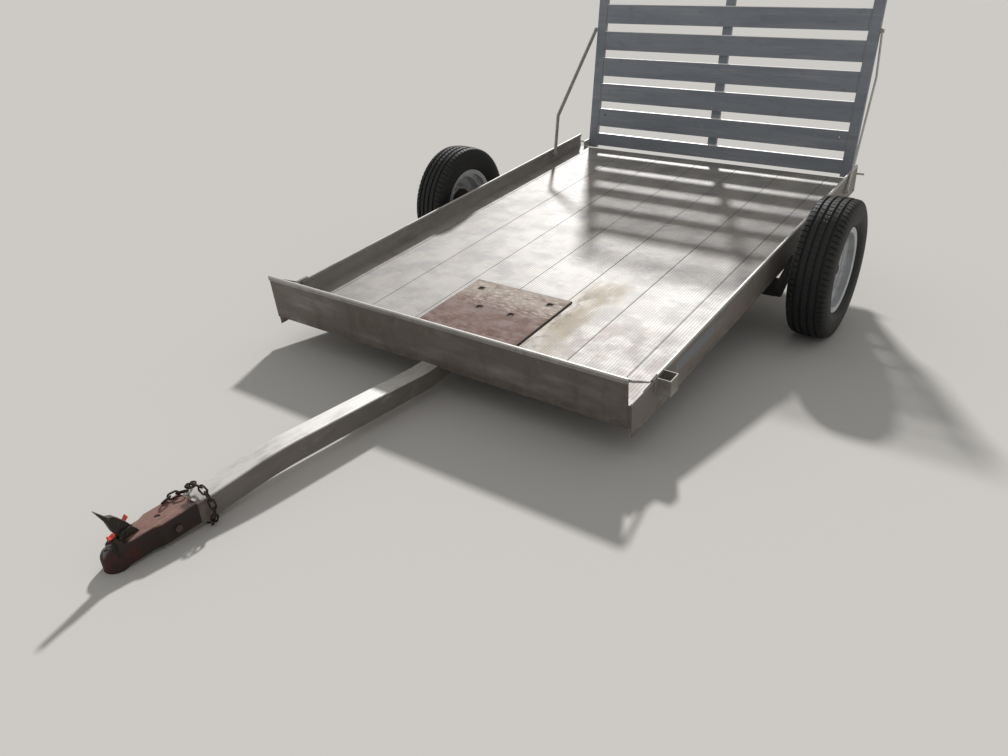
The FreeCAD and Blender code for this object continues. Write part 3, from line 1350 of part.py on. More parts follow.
def centre_on_ground():
    """Move every sub-part so that the origin is under the middle of the whole."""
    DOC.recompute()
    box = FreeCAD.BoundBox()
    for thing in SUBPARTS:
        box.add(thing.Shape.optimalBoundingBox(False))
    shift = Placement(Vector(-box.Center.x, -box.Center.y, 0), Rotation())
    for thing in SUBPARTS:
        thing.Placement = shift.multiply(thing.Placement)
    DOC.recompute()
    return shift.Base


def check_model():
    for thing in DOC.Objects:
        if "Invalid" in thing.State or "Error" in thing.State:
            raise RuntimeError("%s: %s" % (thing.Label, thing.State))
    for thing in SUBPARTS:
        if thing.Shape.isNull() or not thing.Shape.isValid():
            raise RuntimeError("bad shape: " + thing.Label)


def export_subparts():
    os.makedirs("parts", exist_ok=True)
    for thing in SUBPARTS:
        thing.Shape.exportStep("parts/%s.step" % thing.Label)


build()
SHIFT = centre_on_ground()
check_model()
export_subparts()
print("sub-parts: %d" % len(SUBPARTS))
print("pitch %.4f degrees, shift %.3f %.3f %.3f" % (
    math.degrees(POSE.Rotation.Angle), SHIFT.x, SHIFT.y, POSE.Base.z))
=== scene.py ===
import json
import logging
import math
from dataclasses import dataclass, field, replace
from enum import Enum
from typing import Any, Sequence

import bmesh
import bpy
import numpy as np
from mathutils import Euler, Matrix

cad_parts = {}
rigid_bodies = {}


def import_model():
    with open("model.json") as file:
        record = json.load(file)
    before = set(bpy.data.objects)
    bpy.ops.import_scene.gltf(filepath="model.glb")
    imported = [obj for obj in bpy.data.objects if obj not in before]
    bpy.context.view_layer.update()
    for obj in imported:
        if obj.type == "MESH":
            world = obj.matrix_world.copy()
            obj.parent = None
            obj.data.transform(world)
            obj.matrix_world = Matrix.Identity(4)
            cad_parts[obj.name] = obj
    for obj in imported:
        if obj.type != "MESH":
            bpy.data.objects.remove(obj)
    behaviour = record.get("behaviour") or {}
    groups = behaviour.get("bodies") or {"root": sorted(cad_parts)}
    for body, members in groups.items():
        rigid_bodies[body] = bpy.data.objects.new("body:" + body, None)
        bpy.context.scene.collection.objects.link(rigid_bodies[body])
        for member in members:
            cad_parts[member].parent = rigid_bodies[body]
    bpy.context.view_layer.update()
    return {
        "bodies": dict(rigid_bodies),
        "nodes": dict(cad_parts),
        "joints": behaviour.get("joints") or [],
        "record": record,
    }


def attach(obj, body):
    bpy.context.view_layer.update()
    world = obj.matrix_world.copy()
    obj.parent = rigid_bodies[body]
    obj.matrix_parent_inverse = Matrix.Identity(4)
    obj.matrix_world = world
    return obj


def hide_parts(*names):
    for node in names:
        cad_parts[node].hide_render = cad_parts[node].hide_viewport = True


# Single axle aluminium utility trailer. Lengths of the object are millimetres in the trailer's
# own frame: X across, Y back from the front board, Z up from the deck. A Datum lays such points
# down in the scene, which is in metres.

LOG = logging.getLogger("trailer")
MM = 0.001

# Points of a mesh that are nearer than this, in metres, become one
MERGE = 1e-6
# Faces that meet at more than this many degrees show an edge
SHARP_DEG = 38

# Places on the trailer that both a finish and a class use
PLANK_PITCH = 237.7
FIRST_SEAM = -736.0
SLAT_PITCH = 144.7
FIRST_SLAT_TOP = 61.3


# Surfaces
@dataclass(frozen=True)
class Surface:
    """Points in millimetres and the quads between them."""

    points: np.ndarray
    faces: np.ndarray

    @staticmethod
    def joined(parts: Sequence["Surface"]) -> "Surface":
        """One surface of several.

        Args:
            parts: Surfaces, in the order of their points.

        Returns:
            A surface whose faces count on through all the points.
        """
        counts = np.cumsum([0] + [len(part.points) for part in parts[:-1]])
        faces = [part.faces + count for part, count in zip(parts, counts)]
        return Surface(np.vstack([part.points for part in parts]), np.vstack(faces))

    def moved(self, move: Sequence[float], axes: np.ndarray | None = None) -> "Surface":
        """The surface on other axes, given as rows, and then moved."""
        axes = np.eye(3) if axes is None else axes
        return Surface(self.points @ axes + np.asarray(move, float), self.faces)


def grid(points: np.ndarray, loop_rows: bool = False, loop_columns: bool = False) -> Surface:
    """Surface over a grid of points.

    Args:
        points: Array of rows by columns by 3.
        loop_rows: The last row joins the first.
        loop_columns: The last column joins the first.

    Returns:
        One quad between each four neighbours.
    """
    rows, columns = points.shape[:2]
    row = np.arange(rows if loop_rows else rows - 1)[:, None]
    column = np.arange(columns if loop_columns else columns - 1)[None, :]
    next_row, next_column = (row + 1) % rows, (column + 1) % columns
    corners = [row * columns + column, next_row * columns + column,
               next_row * columns + next_column, row * columns + next_column]
    return Surface(points.reshape(-1, 3), np.stack(corners, -1).reshape(-1, 4))


def unit(vectors: np.ndarray) -> np.ndarray:
    """Vectors divided by their lengths."""
    return vectors / np.linalg.norm(vectors, axis=-1, keepdims=True)


def swept(path: np.ndarray, radius: np.ndarray | float, across: Sequence[float], sides: int = 10,
          closed: bool = False, flatten: float = 1.0) -> Surface:
    """Round bar along a path.

    Point (s, a) = path(s) + radius(s) (cos a * side(s) + flatten * sin a * up(s)), where side is
    the across direction made square to the path, and up is square to both.

    Args:
        path: Points of the middle line.
        radius: One radius, or one for each point.
        across: A direction that the path never runs along.
        sides: Points round the bar.
        closed: The path is a loop; otherwise both ends are drawn in to a point.
        flatten: Height of the section over its width.

    Returns:
        The bar's skin.
    """
    path, across = np.asarray(path, float), np.asarray(across, float)
    steps = (np.roll(path, -1, 0) - np.roll(path, 1, 0)) if closed else np.gradient(path, axis=0)
    along = unit(steps)
    side = unit(across - (along @ across)[:, None] * along)
    up = np.cross(along, side)
    radius = np.broadcast_to(np.asarray(radius, float), (len(path),))
    angle = np.linspace(0, 2 * np.pi, sides, endpoint=False)[None, :, None]
    ring = side[:, None] * np.cos(angle) + flatten * up[:, None] * np.sin(angle)
    points = path[:, None] + radius[:, None, None] * ring
    if not closed:
        first, last = (np.repeat(end[:, None], sides, 1) for end in (path[:1], path[-1:]))
        points = np.concatenate([first, points, last])
    return grid(points, loop_rows=closed, loop_columns=True)


def smooth_line(corners: np.ndarray, count: int) -> np.ndarray:
    """Catmull-Rom curve through corners: between two corners, the cubic whose slope at each is
    half the step between its neighbours.

    Args:
        corners: Points of any dimension.
        count: Points on the curve, the ends included.

    Returns:
        The curve's points.
    """
    corners = np.asarray(corners, float)
    ends = np.vstack([2 * corners[0] - corners[1], corners, 2 * corners[-1] - corners[-2]])
    place = np.linspace(0, len(corners) - 1, count)
    index = np.minimum(place.astype(int), len(corners) - 2)
    t = (place - index)[:, None]
    a, b, c, d = (ends[index + i] for i in range(4))
    square, cube = 2 * a - 5 * b + 4 * c - d, 3 * b - a - 3 * c + d
    return 0.5 * (2 * b + (c - a) * t + square * t ** 2 + cube * t ** 3)


def hexagon_nut(flats: float, height: float, chamfer: float = 0.9, face_share: float = 1.01,
                sides: int = 36) -> Surface:
    """Nut along X from 0 to its height, its corners cut off by a cone.

    Its outline's radius at angle a is half the flats over cos(a), a measured from the middle of
    the nearest flat; at both faces it is no more than the inscribed circle times the face share.

    Args:
        flats: Across the flats.
        height: Along the axis.
        chamfer: How far from each face the cone begins.
        face_share: Radius of a face over that of the inscribed circle.
        sides: Points round the nut.

    Returns:
        The nut's skin, closed by flat faces.
    """
    angle = np.linspace(0, 2 * np.pi, sides, endpoint=False)
    nearest = (angle + np.pi / 6) % (np.pi / 3) - np.pi / 6
    outline = flats / 2 / np.cos(nearest)
    face = np.minimum(outline, flats / 2 * face_share)
    levels = np.array([0.0, 0.0, chamfer, height - chamfer, height, height])
    radius = np.stack([0 * outline, face, outline, outline, face, 0 * outline])
    across = np.broadcast_to(levels[:, None], radius.shape)
    points = np.stack([across, radius * np.cos(angle), radius * np.sin(angle)], -1)
    return grid(points, loop_columns=True)


@dataclass(frozen=True)
class Datum:
    """A frame of the object in the scene: turned about X, with its origin moved."""

    origin: tuple[float, float, float]
    turn: float

    def world(self, points: np.ndarray) -> np.ndarray:
        """Lay points down in the scene.

        Args:
            points: Points in millimetres on this frame.

        Returns:
            The same points in the scene, in metres.
        """
        c, s = math.cos(self.turn), math.sin(self.turn)
        axes = np.array([[1, 0, 0], [0, c, s], [0, -s, c]])
        return np.asarray(points, float) @ axes * MM + np.array(self.origin)

    def at(self, across: float, back: float, up: float, tilt: float = 0.0) -> "Datum":
        """A further frame whose origin is a point of this one, tilted in degrees about X."""
        origin = self.world(np.array([across, back, up]))
        return Datum(tuple(float(v) for v in origin), self.turn + math.radians(tilt))

    @staticmethod
    def of_trailer(joints: Sequence[dict[str, Any]]) -> "Datum":
        """The trailer's frame, from where the wheels' axis and the gate's pivot stand.

        Args:
            joints: The frame's joints, with their places in metres.

        Returns:
            The frame that puts both axes where they are.
        """
        place = {joint["name"]: np.array(joint["pos_m"][1:], float) for joint in joints}
        wheel, pivot = place["wheel_left_spin"], place["gate_hinge"]
        own = np.array([Gate.pivot_back - Wheels.axis_back, Gate.pivot_up - Wheels.axis_up])
        seen = pivot - wheel
        turn = math.atan2(seen[1], seen[0]) - math.atan2(own[1], own[0])
        turned = Datum((0.0, 0.0, 0.0), turn)
        axis = turned.world(np.array([0, Wheels.axis_back, Wheels.axis_up]))
        return Datum((0.0, float(wheel[0] - axis[1]), float(wheel[1] - axis[2])), turn)


# Finishes
def linear(colour: str) -> tuple[float, float, float, float]:
    """Linear RGBA of an sRGB hex colour."""
    values = [int(colour[i:i + 2], 16) / 255 for i in (1, 3, 5)]
    return (*[v / 12.92 if v <= 0.04045 else ((v + 0.055) / 1.055) ** 2.4 for v in values], 1.0)


def add_node(tree: bpy.types.NodeTree, kind: str, inputs: dict[Any, Any] | None = None,
             **settings: Any) -> bpy.types.Node:
    """Add a node with its settings, values and links.

    Args:
        tree: Node tree of a material or a world.
        kind: Blender's name of the node.
        inputs: Value or linked output for each input, by name or number.
        settings: The node's own properties.

    Returns:
        The new node.
    """
    node = tree.nodes.new(kind)
    for name, value in settings.items():
        setattr(node, name, value)
    for key, value in (inputs or {}).items():
        if isinstance(value, bpy.types.NodeSocket):
            tree.links.new(value, node.inputs[key])
        else:
            node.inputs[key].default_value = value
    return node


class Axis(Enum):
    """What a region or a row of lines is measured along."""

    ACROSS = 0
    BACK = 1
    UP = 2
    RADIUS = 3


class Grain(Enum):
    """How a layer is spread over the surface."""

    EVEN = 0
    CLOUDS = 1
    LINES = 2


@dataclass(frozen=True)
class Region:
    """Stretch of an axis in millimetres, with soft ends."""

    axis: Axis
    low: float
    high: float
    soft: float = 2.0


@dataclass(frozen=True)
class Layer:
    """One layer over a finish: dirt, wear, rust, relief, or painted light and shade.

    CLOUDS is noise whose patches are about as large as size, in millimetres along X, Y and Z,
    and counts from start to full. LINES are bands size[0] apart along an axis, start wide with
    edges full wide, one of them at size[1]. EVEN has its full share all over its regions, and
    always has one.
    """

    colour: str | None = None
    grain: Grain = Grain.CLOUDS
    size: tuple[float, float, float] = (40, 40, 40)
    start: float = 0.5
    full: float = 0.6
    share: float = 1.0
    rough: float | None = None
    metal: float | None = None
    relief: float = 0.0
    axis: Axis = Axis.ACROSS
    regions: tuple[Region, ...] = ()
    seed: float = 0.0


@dataclass
class Coordinates:
    """Sockets of a material that give a place in millimetres along each axis of a datum."""

    tree: bpy.types.NodeTree
    datum: Datum
    point: bpy.types.NodeSocket = field(init=False)
    axes: dict[Axis, bpy.types.NodeSocket] = field(init=False)

    def __post_init__(self) -> None:
        """Undo the datum's move and turn on the object's own coordinates."""
        tree = self.tree
        own = add_node(tree, "ShaderNodeTexCoord")
        laid = add_node(tree, "ShaderNodeMapping",
                        {"Vector": own.outputs["Object"], "Location": self.datum.origin,
                         "Rotation": (self.datum.turn, 0, 0)}, vector_type="TEXTURE")
        scaled = add_node(tree, "ShaderNodeVectorMath", {0: laid.outputs[0], "Scale": 1 / MM},
                          operation="SCALE")
        self.point = scaled.outputs[0]
        split = add_node(tree, "ShaderNodeSeparateXYZ", {0: self.point})
        flat = add_node(tree, "ShaderNodeVectorMath", {0: self.point, 1: (0, 1, 1)},
                        operation="MULTIPLY")
        reach = add_node(tree, "ShaderNodeVectorMath", {0: flat.outputs[0]}, operation="LENGTH")
        self.axes = dict(zip((Axis.ACROSS, Axis.BACK, Axis.UP), split.outputs))
        self.axes[Axis.RADIUS] = reach.outputs["Value"]

    def ramp(self, value: bpy.types.NodeSocket, start: float, end: float) -> bpy.types.NodeSocket:
        """Smooth step of a value from 0 at start to 1 at end."""
        return add_node(self.tree, "ShaderNodeMapRange",
                        {0: value, 1: start, 2: end, 3: 0.0, 4: 1.0},
                        interpolation_type="SMOOTHSTEP").outputs[0]

    def times(self, first: bpy.types.NodeSocket, second: Any) -> bpy.types.NodeSocket:
        """Product of a socket with a number or another socket."""
        return add_node(self.tree, "ShaderNodeMath", {0: first, 1: second},
                        operation="MULTIPLY").outputs[0]

    def lines(self, layer: Layer) -> bpy.types.NodeSocket:
        """Bands side by side: the distance to the nearest one's middle, stepped down at its edge.

        Args:
            layer: Layer whose grain is LINES.

        Returns:
            Socket that is 1 in the bands and 0 between them.
        """
        pitch, first, _ = layer.size
        counted = add_node(self.tree, "ShaderNodeMath",
                           {0: self.axes[layer.axis], 1: 1 / pitch, 2: -first / pitch},
                           operation="MULTIPLY_ADD")
        nearest = add_node(self.tree, "ShaderNodeMath", {0: counted.outputs[0], 1: 0.5},
                           operation="PINGPONG")
        half, edge = layer.start / 2 / pitch, layer.full / pitch
        return self.ramp(nearest.outputs[0], half + edge, max(0.0, half - edge))

    def clouds(self, layer: Layer) -> bpy.types.NodeSocket:
        """Noise stretched to the layer's size, stepped up from its start to its full value.

        Args:
            layer: Layer whose grain is CLOUDS.

        Returns:
            Socket that is 1 in the patches and 0 between them.
        """
        shrink = tuple(1 / s for s in layer.size)
        spread = add_node(self.tree, "ShaderNodeVectorMath",
                          {0: self.point, 1: shrink, 2: (layer.seed, layer.seed, 0)},
                          operation="MULTIPLY_ADD")
        noise = add_node(self.tree, "ShaderNodeTexNoise", {"Vector": spread.outputs[0], "Scale": 1.0,
                                                           "Detail": 5.0, "Roughness": 0.6})
        return self.ramp(noise.outputs[0], layer.start, layer.full)

    def strength(self, layer: Layer) -> bpy.types.NodeSocket:
        """Share of a layer at each place: its grain times its regions times its share.

        Args:
            layer: The layer.

        Returns:
            Socket of the share.
        """
        grains = {Grain.LINES: self.lines, Grain.CLOUDS: self.clouds}
        value = grains[layer.grain](layer) if layer.grain in grains else None
        for region in layer.regions:
            along, soft = self.axes[region.axis], region.soft
            begun = self.ramp(along, region.low - soft, region.low + soft)
            inside = self.times(begun, self.ramp(along, region.high + soft, region.high - soft))
            value = inside if value is None else self.times(value, inside)
        return self.times(value, layer.share)


@dataclass(frozen=True)
class Finish:
    """A real surface: its base and the layers over it."""

    name: str
    colour: str
    metal: float
    rough: float
    layers: tuple[Layer, ...] = ()

    def worn(self, name: str, *layers: Layer, **changes: Any) -> "Finish":
        """The same finish under another name with more layers on top."""
        return replace(self, name=name, layers=self.layers + layers, **changes)

    def material(self, datum: Datum) -> bpy.types.Material:
        """Build the finish for a piece drawn on a datum.

        Args:
            datum: Frame whose axes and millimetres the layers are written in.

        Returns:
            The material, its patterns fixed to the piece.
        """
        made = bpy.data.materials.new(self.name)
        made.use_nodes = True
        tree = made.node_tree
        shader = tree.nodes["Principled BSDF"]
        values: dict[str, Any] = {"Base Color": linear(self.colour), "Metallic": self.metal,
                                  "Roughness": self.rough}
        for name, value in values.items():
            shader.inputs[name].default_value = value
        height: Any = 0.0
        place = Coordinates(tree, datum)
        for layer in self.layers:
            share = place.strength(layer)
            if layer.colour is not None:
                mixed = add_node(tree, "ShaderNodeMix",
                                 {0: share, 6: values["Base Color"], 7: linear(layer.colour)},
                                 data_type="RGBA")
                values["Base Color"] = mixed.outputs[2]
            for name, value in (("Roughness", layer.rough), ("Metallic", layer.metal)):
                if value is not None:
                    mixed = add_node(tree, "ShaderNodeMix", {0: share, 2: values[name], 3: value},
                                     data_type="FLOAT")
                    values[name] = mixed.outputs[0]
            if layer.relief:
                raised = add_node(tree, "ShaderNodeMath", {0: share, 1: layer.relief, 2: height},
                                  operation="MULTIPLY_ADD")
                height = raised.outputs[0]
        if isinstance(height, bpy.types.NodeSocket):
            bump = add_node(tree, "ShaderNodeBump",
                            {"Height": height, "Distance": MM, "Strength": 1.0})
            tree.links.new(bump.outputs[0], shader.inputs["Normal"])
        for name, value in values.items():
            if isinstance(value, bpy.types.NodeSocket):
                tree.links.new(value, shader.inputs[name])
        return made


# Mill finish aluminium left outdoors: its bright skin has gone to a grey oxide, with soft clouds
# and fine dark flecks
OXIDE = (
    Layer("#85807C", size=(200, 320, 160), start=0.42, full=0.66, share=0.55, rough=0.58, seed=3),
    Layer("#B3AFA9", size=(90, 60, 60), start=0.50, full=0.72, share=0.5, seed=11),
    Layer("#6D675F", size=(5, 5, 5), start=0.64, full=0.76, share=0.3, seed=5),
)
ALUMINIUM = Finish("mill_finish_aluminium", "#9F9B96", 0.3, 0.58, OXIDE)

# The deck's extrusions have fine ribs along them, serrated for grip; the ribs are drawn 12 mm
# apart and the serrations 13 mm apart, coarser than the real ones, so that they show. The regions
# are an ochre stain behind the plate, rust at the plate's edge, and a drier film to its right
DECK = ALUMINIUM.worn(
    "ribbed_aluminium_extrusion",
    Layer("#8B8B8E", size=(150, 110, 150), start=0.44, full=0.64, share=0.55, rough=0.6, seed=7),
    Layer("#BBB7B1", size=(70, 34, 60), start=0.54, full=0.70, share=0.45, rough=0.56, seed=2),
    Layer("#B3A89E", size=(130, 90, 130), start=0.46, full=0.66, share=0.4, seed=8),
    Layer("#7F7870", size=(5, 300, 5), start=0.60, full=0.72, share=0.35, rough=0.66, seed=18),
    Layer("#A08A58", size=(90, 190, 90), start=0.30, full=0.60, share=0.6, rough=0.7, metal=0.1,
          regions=(Region(Axis.ACROSS, 245, 390, 45), Region(Axis.BACK, 240, 860, 120)), seed=4),
    Layer("#735033", size=(30, 60, 30), start=0.44, full=0.66, share=0.5, rough=0.75, metal=0.1,
          regions=(Region(Axis.ACROSS, 242, 300, 14), Region(Axis.BACK, 160, 700, 60)), seed=17),
    Layer("#A08D84", size=(90, 120, 110), start=0.42, full=0.62, share=0.5, rough=0.66, metal=0.15,
          regions=(Region(Axis.ACROSS, 330, 800, 80), Region(Axis.BACK, 0, 560, 110)), seed=6),
    Layer("#ADAAA6", size=(170, 130, 130), start=0.46, full=0.66, share=0.6, rough=0.62, metal=0.15,
          regions=(Region(Axis.ACROSS, 330, 840, 90), Region(Axis.BACK, 260, 1200, 160)), seed=9),
    Layer("#77726C", grain=Grain.LINES, size=(12, 0, 0), start=3.6, full=2.4, share=0.5,
          relief=-0.4),
    Layer("#7B766F", grain=Grain.LINES, size=(13, 0, 0), start=3.0, full=2.8, share=0.34,
          relief=-0.16, axis=Axis.BACK),
    # The seam between two planks, full of dirt
    Layer("#4A433B", grain=Grain.LINES, size=(PLANK_PITCH, FIRST_SEAM, 0), start=3.4, full=1.6,
          share=0.75, rough=0.8, metal=0.0, relief=-0.5),
    colour="#B4B1AD",
)

# The board's face carries a grey-brown film over dents, partly road dirt and partly painted shade,
# darker towards the bottom; the bright band along its lip is a painted highlight
BOARD = ALUMINIUM.worn(
    "front_board_aluminium",
    # Grey-brown film over the face below the lip: partly road dirt, partly painted shade
    Layer("#665D54", size=(420, 120, 90), start=0.16, full=0.52, share=0.8, rough=0.66, metal=0.3,
          regions=(Region(Axis.UP, -40, 140, 3),), seed=12),
    Layer("#5F554A", size=(60, 60, 150), start=0.50, full=0.70, share=0.4, seed=13),
    Layer("#8E857A", size=(30, 30, 46), start=0.56, full=0.70, share=0.4, seed=19),
    # Painted highlight: the sunlit lip, a pale band along the top
    Layer("#C9C7C2", size=(160, 60, 60), start=0.16, full=0.50, share=0.8, rough=0.52,
          regions=(Region(Axis.UP, 155, 175, 2.2),), seed=14),
    # The fold's line under the lip, darkened as a painted shadow under the lip, and a seam down the
    # board
    Layer("#3B352E", grain=Grain.EVEN, share=0.7, rough=0.7, relief=-0.6,
          regions=(Region(Axis.UP, 139.6, 142.6, 0.6),)),
    Layer("#4B4239", grain=Grain.EVEN, share=0.7, rough=0.7, relief=-0.5,
          regions=(Region(Axis.ACROSS, -57, -55.2, 0.5), Region(Axis.UP, -30, 140, 1))),
    # Darker towards the bottom of the board
    Layer("#544A3D", size=(70, 70, 34), start=0.40, full=0.62, share=0.55, rough=0.74, metal=0.1,
          regions=(Region(Axis.UP, -40, 4, 14),), seed=15),
    Layer(size=(95, 95, 60), start=0.3, full=0.7, relief=1.3, seed=16),
)

# The rails' outer faces carry a film, partly dirt and partly painted shade, and are darker towards
# the bottom; the bright band along the top is a painted highlight
RAIL = ALUMINIUM.worn(
    "side_rail_aluminium",
    # Film on the outer faces: partly dirt, partly painted shade
    *[Layer("#756D64", size=(60, 500, 60), start=0.20, full=0.54, share=0.75, rough=0.62,
            metal=0.25, regions=(Region(Axis.ACROSS, low, high, 1), Region(Axis.UP, -70, 60, 3)),
            seed=21)
      for low, high in ((-850, -825), (825, 850))],
    Layer("#6A6258", size=(40, 130, 60), start=0.58, full=0.74, share=0.35, seed=22),
    # Painted highlight: the sunlit top, a pale band along it
    Layer("#C9C7C2", size=(60, 190, 60), start=0.18, full=0.52, share=0.85, rough=0.5,
          regions=(Region(Axis.UP, 72, 90, 2.4),), seed=23),
    # The fold's line under the top, darkened as a painted shadow under the lip
    Layer("#403A32", grain=Grain.EVEN, share=0.7, rough=0.7, relief=-0.5,
          regions=(Region(Axis.UP, 60.4, 62.8, 0.6),)),
    # A blank patch, smoother than the metal round it; its blue tint is a painted reflection of the
    # sky
    Layer("#8F969F", size=(60, 60, 60), start=0.10, full=0.4, share=0.85, rough=0.3, metal=0.4,
          regions=(Region(Axis.ACROSS, 826, 840, 0.5), Region(Axis.BACK, 322, 640, 2.0),
                   Region(Axis.UP, 8, 46, 1.2)), seed=24),
    # Darker towards the bottom of the rail
    Layer("#544B3E", size=(70, 70, 30), start=0.42, full=0.64, share=0.5, rough=0.74, metal=0.1,
          regions=(Region(Axis.UP, -70, -34, 12),), seed=25),
    Layer(size=(90, 200, 50), start=0.3, full=0.7, relief=0.7, seed=26),
)

# Cross-members, sill, ties and pocket: the same metal, grey-brown where the road's dirt stays
FRAME = ALUMINIUM.worn(
    "frame_aluminium",
    Layer("#6B6356", size=(90, 90, 90), start=0.42, full=0.64, share=0.6, rough=0.64, seed=31),
)

# Square tube: smooth and pale, with a film on its sides that is partly dirt and partly painted
# shade, and rust by the coupler
TONGUE = ALUMINIUM.worn(
    "tongue_tube_aluminium",
    Layer("#DCDAD5", size=(40, 120, 40), start=0.30, full=0.58, share=0.7, rough=0.5, seed=41),
    # Film on the sides: partly dirt, partly painted shade
    *[Layer("#625A52", size=(60, 160, 60), start=0.10, full=0.44, share=0.85, rough=0.66,
            metal=0.25, regions=(Region(Axis.ACROSS, low, high, 0.6),), seed=seed)
      for low, high, seed in ((37.4, 60, 42), (-60, -37.4, 45))],
    Layer("#6C6259", size=(30, 60, 30), start=0.60, full=0.74, share=0.25, rough=0.7, metal=0.2,
          seed=43),
    Layer("#A9ABAB", size=(8, 30, 8), start=0.58, full=0.74, share=0.3, seed=46),
    Layer("#6B4A36", size=(16, 30, 16), start=0.42, full=0.60, share=0.55, rough=0.75, metal=0.1,
          regions=(Region(Axis.BACK, -1040, -985, 16),), seed=44),
    colour="#CBC9C5",
)

# The gate's tubes are cooler and duller; the bright line along the top edge of each slat is a
# painted highlight, the sun's glint on the slats' rounded tops
GATE = Finish(
    "gate_tube_aluminium", "#878D96", 0.4, 0.52,
    (
        Layer("#757B85", size=(420, 70, 60), start=0.42, full=0.66, share=0.5, rough=0.56, seed=51),
        Layer("#A2A6AA", size=(300, 24, 16), start=0.52, full=0.72, share=0.4, rough=0.44, seed=52),
        Layer("#6C6F73", size=(260, 18, 10), start=0.60, full=0.74, share=0.35, seed=53),
        Layer("#A9A9A7", size=(24, 24, 24), start=0.62, full=0.74, share=0.35, seed=54),
        # Painted highlight: a bright, glossy line along the top edge of each slat
        Layer("#E2E4E5", grain=Grain.LINES, size=(SLAT_PITCH, FIRST_SLAT_TOP, 0), start=5.0,
              full=1.2, share=0.95, rough=0.5, metal=0.85, axis=Axis.UP,
              regions=(Region(Axis.ACROSS, -735, 735, 1.0),)),
        Layer("#6F675B", size=(50, 50, 50), start=0.58, full=0.74, share=0.35, rough=0.66, seed=55),
    ),
)

# Zinc plated steel gone dull, with rust in its pits
ZINC = Finish(
    "dull_zinc_plated_steel", "#B3B2AE", 0.35, 0.5,
    (
        Layer("#918E89", size=(18, 18, 18), start=0.46, full=0.64, share=0.5, rough=0.6, seed=61),
        Layer("#74513A", size=(9, 14, 14), start=0.66, full=0.76, share=0.5, rough=0.85, metal=0.1,
              relief=0.1, seed=62),
    ),
)

# Stamped steel whose paint is gone: brown rust, nearly black on the sides, which are partly painted
# shade; the mauve top is rust lightened as a painted sunlit top, a dark patch at its rear right is a
# painted shadow of the chain, and the nose is rubbed smooth, with a pale painted reflection on its
# top left
COUPLER = Finish(
    "rusted_stamped_steel", "#2B2220", 0.15, 0.7,
    (
        Layer("#42291F", size=(26, 40, 26), start=0.50, full=0.66, share=0.6, rough=0.84, seed=71),
        # Painted sunlit top: mauve rust, lighter than the sides
        Layer("#8C6A60", size=(60, 90, 60), start=0.14, full=0.36, share=0.95, rough=0.8,
              regions=(Region(Axis.UP, 2.6, 30, 1.6), Region(Axis.BACK, -84, 125, 8)), seed=72),
        Layer("#A98A80", size=(3.2, 80, 6), start=0.48, full=0.62, share=0.5, rough=0.74,
              regions=(Region(Axis.UP, 3.6, 30, 1), Region(Axis.BACK, -80, 125, 8)), seed=73),
        Layer("#6E4C41", size=(14, 30, 10), start=0.54, full=0.66, share=0.5,
              regions=(Region(Axis.UP, 2.6, 30, 1),), seed=74),
        # Painted shadow of the chain on the top's rear right
        Layer("#241D1B", size=(40, 50, 40), start=0.20, full=0.40, share=0.85, rough=0.66,
              regions=(Region(Axis.ACROSS, 14, 60, 7), Region(Axis.BACK, 72, 125, 9),
                       Region(Axis.UP, 0, 30, 2)), seed=75),
        Layer("#4D241B", size=(24, 24, 24), start=0.36, full=0.58, share=0.8, rough=0.8,
              regions=(Region(Axis.BACK, -170, -64, 20), Region(Axis.UP, -62, -12, 8)), seed=76),
        # Painted reflection: a pale, glossy patch on the nose's top left
        Layer("#8E8E90", size=(12, 12, 12), start=0.42, full=0.56, share=0.75, rough=0.4, metal=0.4,
              regions=(Region(Axis.BACK, -160, -122, 7), Region(Axis.UP, -20, 10, 6),
                       Region(Axis.ACROSS, -34, 8, 8)), seed=77),
        Layer(size=(2.6, 2.6, 2.6), start=0.3, full=0.7, relief=0.28, seed=78),
        Layer(size=(12, 12, 12), start=0.3, full=0.7, relief=0.5, seed=79),
    ),
)

# The latch: steel that grease has blackened, brown where it rusts and bright where it rubs
LATCH = Finish(
    "blackened_rusty_steel", "#2B2624", 0.3, 0.6,
    (
        Layer("#4C3328", size=(10, 14, 18), start=0.54, full=0.66, share=0.65, rough=0.84,
              relief=0.2, seed=81),
        Layer("#6A665F", size=(8, 20, 26), start=0.56, full=0.68, share=0.5, rough=0.45, seed=82),
        Layer(size=(3, 3, 3), start=0.3, full=0.7, relief=0.2, seed=83),
    ),
)

